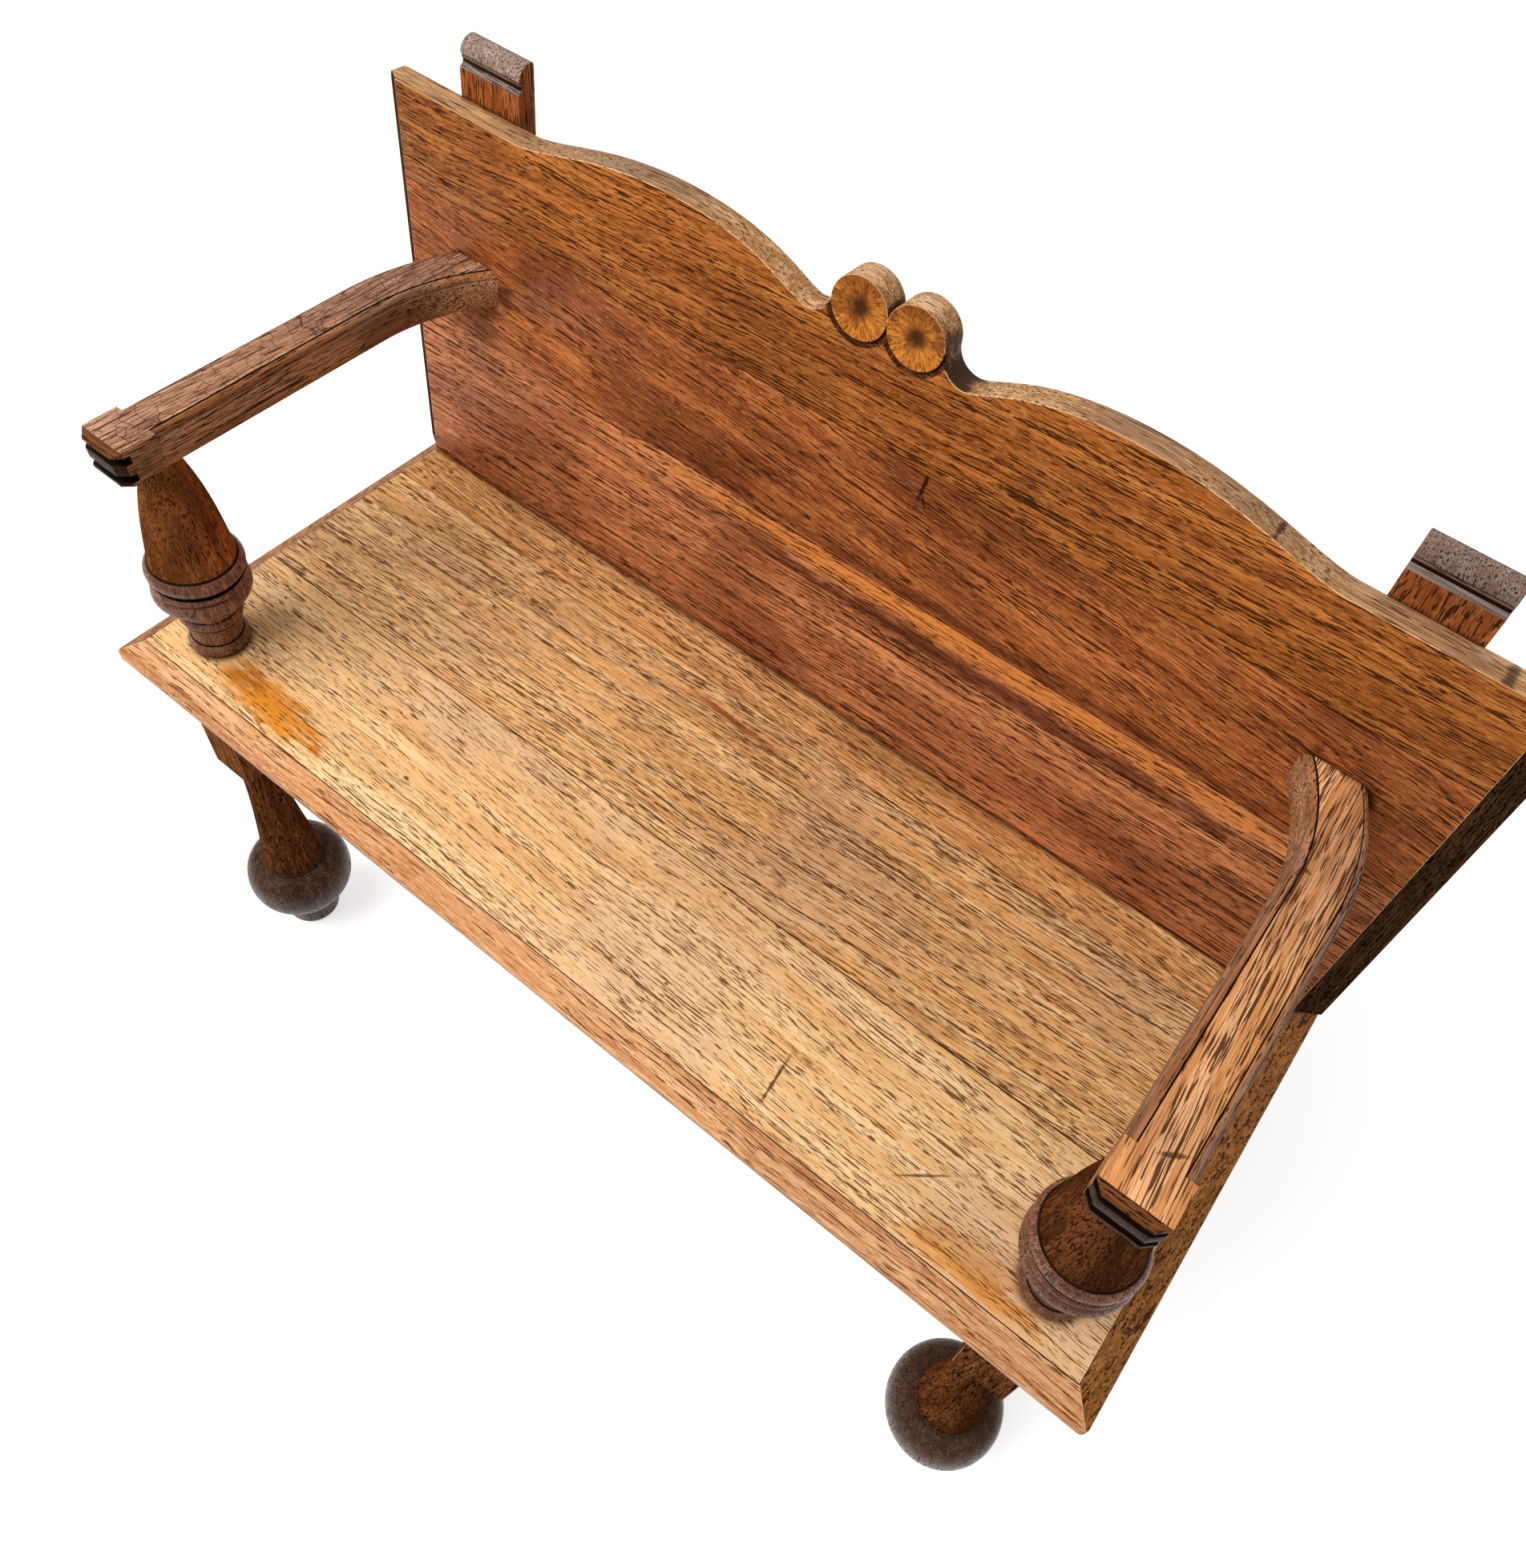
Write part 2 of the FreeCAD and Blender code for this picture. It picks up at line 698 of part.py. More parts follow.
def glue_block_spots():
    """Middle of each block and the way that its screw goes into the rail."""
    half = glue_block_side / 2
    inner_front = front_rail_y + rail_thick + half
    inner_rear = rear_leg_back_y - rail_thick - half
    inner_side = side_rail_x - rail_thick / 2 - half
    mid_y = (front_shoulder_y + rear_shoulder_y) / 2
    spots = []
    for x in spread(glue_block_inset, glue_block_count):
        spots.append((x, inner_front, (0, -1)))
        spots.append((x, inner_rear, (0, 1)))
    for side in (-1, 1):
        spots.append((side * inner_side, mid_y, (side, 0)))
    return spots


def glue_blocks():
    half = glue_block_side / 2
    blocks = []
    for x, y, way in glue_block_spots():
        along = glue_block_len / 2
        hx, hy = (along, half) if way[0] == 0 else (half, along)
        blocks.append(block(x - hx, x + hx, y - hy, y + hy, -board_thick - glue_block_side, -board_thick))
    return blocks


# Fixings

def dowel(middle, way, length, extra):
    """Round dowel about its middle point, or its bore when extra is a clearance."""
    reach = length / 2 + extra
    start = middle - way * reach
    return Part.makeCylinder(dowel_r + extra, 2 * reach, start, way)


def seat_dowels(extra):
    places = spread(seat_dowel_inset, seat_dowel_count)
    spots = [(x, y) for y in (seat_joint_1, seat_joint_2) for x in places]
    return [dowel(vec(x, y, -board_thick / 2), vec(0, 1, 0), dowel_len, extra) for x, y in spots]


def back_dowels(extra):
    places = spread(back_dowel_inset, back_dowel_count)
    spots = [(x, u) for u in (back_joint_1, back_joint_2) for x in places]
    drawn = [dowel(vec(x, board_thick / 2, u), vec(0, 0, 1), dowel_len, extra) for x, u in spots]
    return [lean_back(pin) for pin in drawn]


def back_foot_dowels(extra):
    """Dowels that stand the back on the seat, half in each."""
    length = foot_dowel_rise + foot_dowel_drop
    middle = (foot_dowel_rise - foot_dowel_drop) / 2
    places = spread(foot_dowel_inset, foot_dowel_count)
    drawn = [dowel(vec(x, board_thick / 2, middle), vec(0, 0, 1), length, extra) for x in places]
    return [lean_back(pin) for pin in drawn]


def screw(head, way, length):
    """Slotted countersunk wood screw, from the middle of its head."""
    cone = Part.makeCone(screw_head_r, screw_shank_r, screw_head_h, head, way)
    shank = Part.makeCylinder(screw_shank_r, length - screw_tip - screw_head_h + 1.0,
                              head + way * (screw_head_h - 1.0), way)
    tip = Part.makeCone(screw_shank_r, screw_tip_r, screw_tip, head + way * (length - screw_tip), way)
    body = cone.fuse([shank, tip]).removeSplitter()
    half_slot = screw_slot / 2
    slot = block(-far, far, -half_slot, half_slot, -1.0, screw_slot_depth)
    slot.Placement = FreeCAD.Placement(head, FreeCAD.Rotation(vec(0, 0, 1), way))
    return body.cut(slot)


def screw_bore(head, way, length):
    """Countersunk bore that clears the screw all round."""
    extra = round_clearance
    cone = Part.makeCone(screw_head_r + extra, screw_shank_r + extra, screw_head_h, head, way)
    mouth = Part.makeCylinder(screw_head_r + extra, 1.0, head - way, way)
    shank = Part.makeCylinder(screw_shank_r + extra, length + extra - 1.0, head + way, way)
    return mouth.fuse([cone, shank])


def lean_point(x, n, u):
    """Point x along, n behind and u above the foot of the front of the back."""
    a = math.radians(back_rake)
    y = seat_flat_depth + n * math.cos(a) + u * math.sin(a)
    return vec(x, y, u * math.cos(a) - n * math.sin(a))


a_rake = math.radians(back_rake)
into_back = vec(0, -math.cos(a_rake), math.sin(a_rake))
post_rear_n = board_thick + post_thick


def post_screw_spots():
    """Screws through each post into the back, the seat's rear edge and the rear rail."""
    heights = (post_screw_low, post_screw_low + post_screw_pitch, back_shoulder_u - post_screw_drop,
               -board_thick / 2, -board_thick - rail_depth / 2)
    spots = [(side * post_x, u) for side in (-1, 1) for u in heights]
    length = post_thick + board_grip
    return [(lean_point(x, post_rear_n, u), into_back, length) for x, u in spots]


def arm_screw_spots():
    """Long screws through post and back into the end of each arm."""
    u = (arm_bottom + arm_thick / 2) / math.cos(a_rake)
    length = post_rear_n + arm_screw_grip
    x = post_x + arm_screw_out
    return [(lean_point(side * x, post_rear_n, u), into_back, length) for side in (-1, 1)]


def block_screw_spots():
    """One screw up into the seat and one into the rail from each glue block."""
    spots = []
    half = glue_block_side / 2
    offset = glue_block_len / 4
    for x, y, (wx, wy) in glue_block_spots():
        ax, ay = abs(wy) * offset, abs(wx) * offset
        low = -board_thick - glue_block_side
        spots.append((vec(x + ax, y + ay, low), vec(0, 0, 1), glue_block_side + board_grip))
        face = vec(x - ax - wx * half, y - ay - wy * half, low + half)
        spots.append((face, vec(wx, wy, 0), glue_block_side + board_grip))
    return spots


def screws(spots):
    return [screw(*spot) for spot in spots]


def bores(spots):
    return [screw_bore(*spot) for spot in spots]


# Assembly

def build_nodes():
    """Every node by name, each a list of solids."""
    seat_bores = seat_dowels(round_clearance) + back_foot_dowels(round_clearance)
    seat_bores += both_sides(support_pins(round_clearance))
    seat_bores += bores(post_screw_spots()) + bores(block_screw_spots())
    back_bores = back_dowels(round_clearance) + back_foot_dowels(round_clearance)
    back_bores += bores(post_screw_spots()) + bores(arm_screw_spots())
    post_bores = bores(post_screw_spots()) + bores(arm_screw_spots())
    arm_bores = both_sides(support_pins(round_clearance)) + bores(arm_screw_spots())
    block_bores = bores(block_screw_spots())

    nodes = {}
    for name, board in zip(("seat_front_board", "seat_middle_board", "seat_rear_board"), seat_boards()):
        nodes[name] = [board.cut(seat_bores)]
    for name, board in zip(("back_lower_board", "back_middle_board", "back_top_board"), back_boards()):
        nodes[name] = [board.cut(back_bores)]
    paired = {
        "rear_post": (rear_post(), post_bores),
        "arm": (arm(), arm_bores),
        "arm_support": (arm_support(), []),
        "front_leg": (front_leg(), front_mortises()),
        "bun_foot": (bun_foot(), []),
        "rear_leg": (rear_leg(), rear_mortises()),
        "side_rail": (side_rail(), block_bores),
    }
    for name, (shape, waste) in paired.items():
        right = shape.cut(waste) if waste else shape
        nodes[name + "_right"] = [right]
        nodes[name + "_left"] = [mirrored(right)]
    nodes["front_rail"] = [front_rail().cut(block_bores)]
    nodes["rear_rail"] = [rear_rail().cut(block_bores + bores(post_screw_spots()))]
    nodes["glue_blocks"] = [piece.cut(block_bores) for piece in glue_blocks()]
    nodes["seat_dowels"] = seat_dowels(0)
    nodes["back_dowels"] = back_dowels(0)
    nodes["back_foot_dowels"] = back_foot_dowels(0)
    nodes["post_screws"] = screws(post_screw_spots())
    nodes["arm_screws"] = screws(arm_screw_spots())
    nodes["glue_block_screws"] = screws(block_screw_spots())
    return nodes


def stand_on_floor(nodes):
    """Move all pieces so that the bench stands centred on the origin."""
    box = Part.makeCompound([s for solids in nodes.values() for s in solids]).BoundBox
    shift = vec(0, -(box.YMin + box.YMax) / 2, seat_height)
    for solids in nodes.values():
        for solid in solids:
            solid.translate(shift)


nodes = build_nodes()
stand_on_floor(nodes)
os.makedirs("parts", exist_ok=True)
for name, solids in nodes.items():
    loose = [s for shape in solids for s in shape.Solids]
    piece = loose[0] if len(loose) == 1 else Part.makeCompound(loose)
    piece.exportStep("parts/" + name + ".step")
    state = "valid" if piece.isValid() else "NOT VALID"
    print(name, len(loose), "solids", state, round(piece.Volume / 1000, 1), "cm3")
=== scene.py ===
import math

import bpy
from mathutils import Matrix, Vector
from mathutils.bvhtree import BVHTree


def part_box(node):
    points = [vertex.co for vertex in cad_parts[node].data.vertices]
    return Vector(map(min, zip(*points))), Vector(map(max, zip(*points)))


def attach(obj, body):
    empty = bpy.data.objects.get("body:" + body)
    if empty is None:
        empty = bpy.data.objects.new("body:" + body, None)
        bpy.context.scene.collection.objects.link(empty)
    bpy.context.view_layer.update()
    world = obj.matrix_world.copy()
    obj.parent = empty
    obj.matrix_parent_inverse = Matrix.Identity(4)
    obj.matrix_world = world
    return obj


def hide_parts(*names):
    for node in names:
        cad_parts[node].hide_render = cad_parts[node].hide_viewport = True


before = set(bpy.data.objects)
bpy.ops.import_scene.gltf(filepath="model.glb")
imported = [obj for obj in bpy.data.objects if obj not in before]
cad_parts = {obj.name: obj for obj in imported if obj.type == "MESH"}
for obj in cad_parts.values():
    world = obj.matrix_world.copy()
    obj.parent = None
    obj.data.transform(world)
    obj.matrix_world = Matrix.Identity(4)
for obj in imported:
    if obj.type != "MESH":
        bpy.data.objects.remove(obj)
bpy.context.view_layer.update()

# An old oak bench: a three-board seat, a raked three-board back with a shaped
# top, level arms on turned supports, and turned front legs on bun feet.
# The frame gives every piece its place, and the scene is drawn in metres.

# Seat boards
# Three oak boards, dowelled and glued edge to edge and held to the rails by glue
# blocks, waxed and worn pale. The front and both ends are bevelled, set off by a small
# quirk that is painted dark as shade. The ends show end grain, which is darker.

MM = 0.001


def linear(hex_colour):
    """An sRGB hex colour as the linear RGBA that Blender's sockets hold."""
    parts = [int(hex_colour[i:i + 2], 16) / 255 for i in (1, 3, 5)]
    low = [c / 12.92 if c <= 0.04045 else ((c + 0.055) / 1.055) ** 2.4 for c in parts]
    return (*low, 1.0)


def new_tree(owner):
    """The shader tree of a new material or world, emptied."""
    owner.use_nodes = True
    owner.node_tree.nodes.clear()
    return owner.node_tree


def add(tree, kind, values=None, links=None, **settings):
    """Add a shader node with its settings, socket values and incoming links."""
    node = tree.nodes.new("ShaderNode" + kind)
    for name, value in settings.items():
        setattr(node, name, value)
    for socket, value in (values or {}).items():
        node.inputs[socket].default_value = value
    for socket, source in (links or {}).items():
        tree.links.new(source, node.inputs[socket])
    return node


def streaks(tree, coords, grain, length, width, detail=2.0):
    """Noise drawn out along the grain: streaks of one length and width in mm."""
    scale = [1 / (length * MM) if axis == grain else 1 / (width * MM) for axis in "XYZ"]
    stretched = add(tree, "Mapping", {"Scale": scale}, {"Vector": coords})
    noise = add(tree, "TexNoise", {"Scale": 1.0, "Detail": detail}, {"Vector": stretched.outputs[0]})
    return noise.outputs["Fac"]


def laid(tree, colour, value, start, full, strength, hex_colour):
    """Lay a colour over another one as a value goes from its start to its full end."""
    amount = add(tree, "MapRange", {"From Min": start, "From Max": full, "To Max": strength},
                 {"Value": value}, interpolation_type="SMOOTHSTEP")
    mixed = add(tree, "Mix", {7: linear(hex_colour)}, {0: amount.outputs[0], 6: colour}, data_type="RGBA")
    return mixed.outputs[2]


def mark(tree, coords, rough, centre, reach, turn):
    """How far a point lies from a stain, knot, scratch or patch of painted shade, 1 at its ragged rim.

    centre and reach are in mm and turn is in degrees. rough is the noise that frays the rim."""
    place = add(tree, "Mapping", {"Location": [c * MM for c in centre], "Scale": [r * MM for r in reach],
                                  "Rotation": [math.radians(a) for a in turn]},
                {"Vector": coords}, vector_type="TEXTURE")
    far = add(tree, "VectorMath", links={0: place.outputs[0]}, operation="LENGTH")
    fray = 1.6
    frayed = add(tree, "Math", {1: fray}, {0: rough, 2: far.outputs["Value"]}, operation="MULTIPLY_ADD")
    return add(tree, "Math", {1: fray / 2}, {0: frayed.outputs[0]}, operation="SUBTRACT").outputs[0]


def finish(tree, colour, pore_mask, fibre, roughness, gloss, polish, relief):
    """Polish a wood: its pores stay dull and sink, and a soft uneven sheen has the wood's own tint.

    The sheen is weaker than that of real polish, and none at all where gloss is 0, because
    the white surroundings greyed the dark wood."""
    place = add(tree, "TexCoord").outputs["Object"]
    wear = add(tree, "TexNoise", {"Scale": 1 / (33 * MM), "Detail": 3.0}, {"Vector": place})
    spread = 0.22
    uneven = add(tree, "Math", {1: spread, 2: roughness - spread / 2}, {0: wear.outputs["Fac"]},
                 operation="MULTIPLY_ADD")
    dull = add(tree, "Math", {1: 0.25}, {0: pore_mask, 2: uneven.outputs[0]}, operation="MULTIPLY_ADD")
    height = add(tree, "Math", {1: -1.0}, {0: pore_mask, 2: fibre}, operation="MULTIPLY_ADD")
    bump = add(tree, "Bump", {"Strength": relief, "Distance": 0.3 * MM}, {"Height": height.outputs[0]})
    shader = add(tree, "BsdfPrincipled",
                 {"IOR": 1.5, "Specular IOR Level": gloss, "Specular Tint": linear(polish)},
                 {"Base Color": colour, "Roughness": dull.outputs[0], "Normal": bump.outputs[0]})
    add(tree, "OutputMaterial", links={"Surface": shader.outputs[0]})


def oak(name, grain, light, middle, dark, pore, turn=(0, 0, 0), offset=(0, 0, 0), ring=7.0, pores=0.5,
        pore_length=12.0, row=1.2, patch=None, patch_share=0.5, fleck=None, fleck_share=0.6,
        marks=(), crazed=0.0, grime_and_shade=0.75, grime_and_shade_reach=7.0, roughness=0.48, gloss=0.1, relief=0.5):
    """Waxed or polished oak: growth rings, open pores along the grain and uneven colour, sizes in mm.

    The pores are the dark dashes that make oak look like oak. They gather in rows and
    crowd in the pale part of a ring. Rings and fibre are drawn coarser than in real oak,
    and the pores about three times as wide or more, because real ones would be too fine
    to show. Flecks are the short bright rays of oak and patches are cloudy stains, on the
    middle seat board a painted grey sheen. The polish can be crazed into a net of fine
    cracks, and creases and corners are darkened, partly as grime and partly as painted shade."""
    material = bpy.data.materials.new(name)
    tree = new_tree(material)
    place = add(tree, "TexCoord").outputs["Object"]
    turned = add(tree, "Mapping", {"Rotation": [math.radians(a) for a in turn], "Location": offset},
                 {"Vector": place}).outputs[0]
    waves = add(tree, "TexNoise", {"Scale": 1 / (160 * MM), "Detail": 2.0}, {"Vector": turned})
    across = [0.0 if axis == grain else 12 * MM for axis in "XYZ"]
    coords = add(tree, "VectorMath", {1: across}, {0: waves.outputs["Color"], 2: turned},
                 operation="MULTIPLY_ADD").outputs[0]

    rings = streaks(tree, coords, grain, 350, ring, 1.0)
    fibre = streaks(tree, coords, grain, 40, 1.0, 2.0)
    broad = streaks(tree, coords, grain, 300, 38, 2.0)
    rows = streaks(tree, coords, grain, 160, row, 1.0)
    dashes = streaks(tree, coords, grain, pore_length, 0.8, 1.0)
    crowd = add(tree, "Math", {1: 0.16, 2: -0.08 - 0.1 * pores}, {0: rings},
                operation="MULTIPLY_ADD").outputs[0]
    rowed = add(tree, "Math", {1: 0.5}, {0: rows, 2: crowd}, operation="MULTIPLY_ADD").outputs[0]
    opened = add(tree, "Math", {1: 0.5}, {0: dashes, 2: rowed}, operation="MULTIPLY_ADD").outputs[0]
    pore_mask = add(tree, "MapRange", {"From Min": 0.405, "From Max": 0.365}, {"Value": opened},
                    interpolation_type="SMOOTHSTEP").outputs[0]

    ringed = add(tree, "MapRange", {"From Min": 0.38, "From Max": 0.62}, {"Value": rings},
                 interpolation_type="SMOOTHSTEP").outputs[0]
    colour = add(tree, "Mix", {6: linear(light), 7: linear(middle)}, {0: ringed}, data_type="RGBA").outputs[2]
    colour = laid(tree, colour, broad, 0.45, 0.70, 0.5, dark)
    colour = laid(tree, colour, fibre, 0.50, 0.66, 0.6, dark)
    colour = laid(tree, colour, fibre, 0.46, 0.34, 0.4, light)
    if fleck:
        rays = streaks(tree, coords, grain, 7, 1.1, 1.0)
        colour = laid(tree, colour, rays, 0.54, 0.66, fleck_share, fleck)
    if patch:
        cloud = add(tree, "TexNoise", {"Scale": 1 / (140 * MM), "Detail": 3.0}, {"Vector": turned})
        colour = laid(tree, colour, cloud.outputs["Fac"], 0.48, 0.66, patch_share, patch)
    if marks:
        rough = streaks(tree, place, grain, 26, 6, 3.0)
        # Marks are stains, knots and scratches, and also painted shade and shadow on the back.
        for centre, reach, mark_turn, hex_colour, strength in marks:
            stain = mark(tree, place, rough, centre, reach, mark_turn)
            colour = laid(tree, colour, stain, 1.05, 0.35, strength, hex_colour)
    colour = laid(tree, colour, pore_mask, 0.0, 1.0, 0.92, pore)
    if crazed:
        plates = add(tree, "TexVoronoi", {"Scale": 1 / (11 * MM)}, {"Vector": coords},
                     feature="DISTANCE_TO_EDGE")
        where = add(tree, "TexNoise", {"Scale": 1 / (60 * MM), "Detail": 1.0}, {"Vector": place})
        gap = add(tree, "Math", {1: crazed}, {0: where.outputs["Fac"]}, operation="MULTIPLY")
        crack = add(tree, "Math", links={0: plates.outputs["Distance"], 1: gap.outputs[0]},
                    operation="SUBTRACT")
        colour = laid(tree, colour, crack.outputs[0], 0.01, -0.02, 0.85, pore)
    # Grime and painted shade: creases, corners and places beside other pieces darken by how little open sky
    # they see.
    open_sky = add(tree, "AmbientOcclusion", {"Distance": grime_and_shade_reach * MM}, samples=8).outputs["AO"]
    colour = laid(tree, colour, open_sky, 0.85, 0.40, grime_and_shade, pore)
    finish(tree, colour, pore_mask, fibre, roughness, gloss, light, relief)
    return material


surfaces = {}
for name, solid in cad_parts.items():
    corners = [vertex.co for vertex in solid.data.vertices]
    surfaces[name] = BVHTree.FromPolygons(corners, [face.vertices for face in solid.data.polygons])


def meets_another(point, node, reach):
    """Whether another solid of the frame lies within reach of a point of this one."""
    near = [tree.find_nearest(point, reach)[0] for name, tree in surfaces.items() if name != node]
    return any(found is not None for found in near)


def eased_copy(node, arris, materials, share=None, worn=-1, joint=-1):
    """A merged copy of a solid of the frame with its arrises a little rounded, by arris in mm.

    worn is the number of the material that open arrises take, and joint that of those
    where two pieces meet. Without them an arris looks like the faces beside it. share
    gives how much of the rounding it gets at a place, as a moulding needs some crisp."""
    sharp = math.radians(28)
    bpy.ops.object.select_all(action="DESELECT")
    piece = bpy.data.objects.new("oak_" + node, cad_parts[node].data.copy())
    bpy.context.scene.collection.objects.link(piece)
    bpy.context.view_layer.objects.active = piece
    piece.select_set(True)
    piece.data.materials.clear()
    for material in materials:
        piece.data.materials.append(material)
    bpy.ops.mesh.customdata_custom_splitnormals_clear()
    bpy.ops.object.mode_set(mode="EDIT")
    bpy.ops.mesh.select_all(action="SELECT")
    bpy.ops.mesh.remove_doubles(threshold=0.01 * MM)
    bpy.ops.mesh.dissolve_limited(angle_limit=math.radians(0.4))
    bpy.ops.mesh.normals_make_consistent(inside=False)
    bpy.ops.mesh.select_all(action="DESELECT")
    bpy.ops.mesh.edges_select_sharp(sharpness=sharp)
    bpy.ops.object.mode_set(mode="OBJECT")
    if arris:
        easing = piece.modifiers.new("arris", "BEVEL")
        easing.width = arris * MM
        easing.segments = 2
        easing.limit_method = "WEIGHT" if share else "ANGLE"
        easing.angle_limit = sharp
        easing.use_clamp_overlap = False
        easing.material = worn
        if share:
            rounding = piece.data.attributes.new("bevel_weight_edge", "FLOAT", "EDGE")
            for edge in piece.data.edges:
                start, end = (piece.data.vertices[i].co for i in edge.vertices)
                middle = (start + end) / 2
                if edge.select and not meets_another(middle, node, 0.25 * MM):
                    rounding.data[edge.index].value = share(middle)
        bpy.ops.object.modifier_apply(modifier=easing.name)
        if joint >= 0:
            for face in piece.data.polygons:
                if face.material_index == worn and meets_another(face.center, node, 0.9 * MM):
                    face.material_index = joint
    bpy.ops.object.shade_smooth_by_angle(angle=math.radians(36))
    return piece


def stands_for(piece, node):
    """Hide the solid of the frame that a piece stands for, and attach the piece to the root body."""
    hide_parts(node)
    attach(piece, "root")


front_bevel_run = 20 * MM
end_bevel_run = 21 * MM
quirk = 1.2 * MM
seat_low, seat_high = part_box("seat_front_board")
flat_front = seat_low.y + front_bevel_run
flat_end = seat_high.x - end_bevel_run
seat_top = seat_high.z

ON_TOP, WORN, IN_QUIRK, AT_END, ON_BEVEL = range(5)

# Worn arrises give a pale line, the joints a thin dark one, and the quirk a thin dark one of painted shade.
# The end grain is dark and short in its figure, and the front bevel is redder than the flat top.
worn_seat = oak("waxed_oak_worn_bare", "X", "#FFE0B4", "#F0C08C", "#D09A68", "#8A5A30", pores=0.1)
joint_dirt_and_quirk_shade = oak("dirt_in_seat_joints_and_painted_quirk_shade", "X", "#5A3418", "#442410", "#2E1608", "#1C0D05", pores=0.1)
seat_end_oak = oak("waxed_oak_end_grain", "Y", "#C4803F", "#9C6230", "#6B3D1B", "#3A1D0A", turn=(14, 0, 0),
                   ring=4.0, pores=0.6, pore_length=5.0, row=2.4, fleck="#C08A54", fleck_share=0.5)
seat_bevel_oak = oak("waxed_oak_front_bevel_reddened", "X", "#EBB684", "#CF8F5E", "#A5643C", "#6A3A1E",
                     ring=5.0, pores=0.35, row=1.8, pore_length=16.0, fleck="#F2C898", fleck_share=0.4)

# Each mark has its centre and its reach along the three axes in mm, its turn in degrees,
# its colour and its strength. A reach of 60 carries it right through the board.
scratch = "#4A2A14"
orange = "#DE8A24"
seat_finish = {
    "seat_front_board": dict(
        light="#FFD8A2", middle="#F4C082", dark="#CC9056", pore="#6A3C14", pores=0.5, turn=(0, 0, 1.6),
        ring=11.0, row=1.4, pore_length=10.0, patch="#E8BC94", patch_share=0.6,
        marks=(((199, -155, 468), (1.7, 28, 60), (0, 0, 7), scratch, 0.9),
               ((326, -144, 468), (28, 1.4, 60), (0, 0, 38), scratch, 0.8),
               ((-348, -168, 468), (84, 25, 60), (0, 0, -6), orange, 0.95),
               ((-384, -163, 468), (26, 15, 60), (0, 0, 0), "#B96A1E", 0.7),
               ((400, -182, 468), (80, 9, 60), (0, 0, 0), orange, 0.75),
               ((380, -170, 468), (60, 16, 60), (0, 0, 0), "#C98038", 0.6),
               ((-284, -174, 468), (8, 6, 60), (0, 0, 0), "#D2792B", 0.9),
               ((86, -148, 468), (2.6, 2.0, 60), (0, 0, 0), scratch, 0.9),
               ((-205, -145, 468), (3, 1.8, 60), (0, 0, 0), scratch, 0.9),
               ((-101, -64, 468), (2.6, 1.8, 60), (0, 0, 0), scratch, 0.9),
               ((-441, -70, 468), (2.8, 2.0, 60), (0, 0, 0), scratch, 0.95),
               ((-436, -79, 468), (2.4, 2.0, 60), (0, 0, 0), scratch, 0.95))),
    # The grey clouds of the middle board are painted sheen.
    "seat_middle_board": dict(
        light="#F4C68E", middle="#E0A66A", dark="#B67E46", pore="#5A2E0C", pores=0.8, turn=(0, 0, -1.8),
        offset=(0.4, 0.2, 0.1), ring=9.0, patch="#C99C78", patch_share=0.5,
        marks=(((-27, 83, 468), (86, 4.5, 60), (0, 0, -3), "#8E4522", 0.8),
               ((-450, 6, 468), (4, 2.5, 60), (0, 0, 0), scratch, 0.9))),
    "seat_rear_board": dict(
        light="#EDB478", middle="#D6965A", dark="#A66C38", pore="#5A2E0C", pores=0.75, turn=(0, 0, 0.8),
        offset=(0.9, 0.5, 0.3), ring=8.0,
        marks=(((-446, 111, 468), (4.5, 3, 60), (0, 0, 0), scratch, 0.9),)),
}
for node, look in seat_finish.items():
    top_oak = oak("waxed_oak_" + node, "X", grime_and_shade_reach=9.0, **look)
    board = eased_copy(node, 0.5, [top_oak, worn_seat, joint_dirt_and_quirk_shade, seat_end_oak, seat_bevel_oak],
                       worn=WORN, joint=IN_QUIRK)
    stands_for(board, node)
    for face in board.data.polygons:
        # The steep faces of the quirk take a dark line of painted shade.
        steep = face.center.z > seat_top - 1.5 * quirk and face.normal.z < 0.9
        beside_flat = min(abs(face.center.y - flat_front), abs(abs(face.center.x) - flat_end))
        if steep and beside_flat < 1.2 * MM:
            face.material_index = IN_QUIRK
        elif abs(face.normal.x) > 0.45:
            face.material_index = AT_END
        elif face.normal.y < -0.2 and face.center.y < flat_front:
            face.material_index = ON_BEVEL

# Back boards
# Three wider oak boards, glued edge to edge, stained and polished, and raked back on
# the seat. The top one has a shallow double curve that rises to two carved discs. Its
# top edge is paler than the face, with painted shade on the right of each disc.

disc_r = 24 * MM
disc_x = 23.8 * MM
back_low, back_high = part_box("back_top_board")
disc_z = back_high.z - disc_r
back_middle_y = (back_low.y + back_high.y) / 2
panel_rake = math.radians(3.27)
panel_front = Vector((0, -math.cos(panel_rake), math.sin(panel_rake)))

# Marks of the top edge: painted shade on the right of each disc, a grey patch on the left
# of the left one, pale tops of the discs, two dark splits on the right, and grey clouds on both crests.
edge_marks_and_shade = [((57, 184, 840), (20, 60, 38), (0, 0, 0), "#3E2A1F", 1.0),
              ((50, 186, 866), (9, 30, 14), (0, 0, 0), "#3E2A1F", 0.85),
              ((72, 186, 826), (18, 30, 9), (0, 0, 0), "#4A3428", 0.8),
              ((3, 186, 868), (7, 30, 14), (0, 0, 0), "#4A3428", 0.8),
              ((-52, 180, 846), (9, 40, 26), (0, 0, 0), "#6E5242", 0.7),
              ((24, 186, 886), (24, 30, 9), (0, 0, 0), "#E9BC90", 0.7),
              ((-24, 186, 886), (24, 30, 9), (0, 0, 0), "#E2B48A", 0.7),
              ((297, 186, 860), (3, 30, 14), (0, 20, 0), "#3A2012", 0.9),
              ((455, 186, 846), (5, 30, 14), (0, 20, 0), "#3A2012", 0.8),
              ((-250, 186, 872), (60, 30, 10), (0, 0, 0), "#8A6A54", 0.55),
              ((180, 186, 872), (70, 30, 10), (0, 0, 0), "#8A6A54", 0.55)]
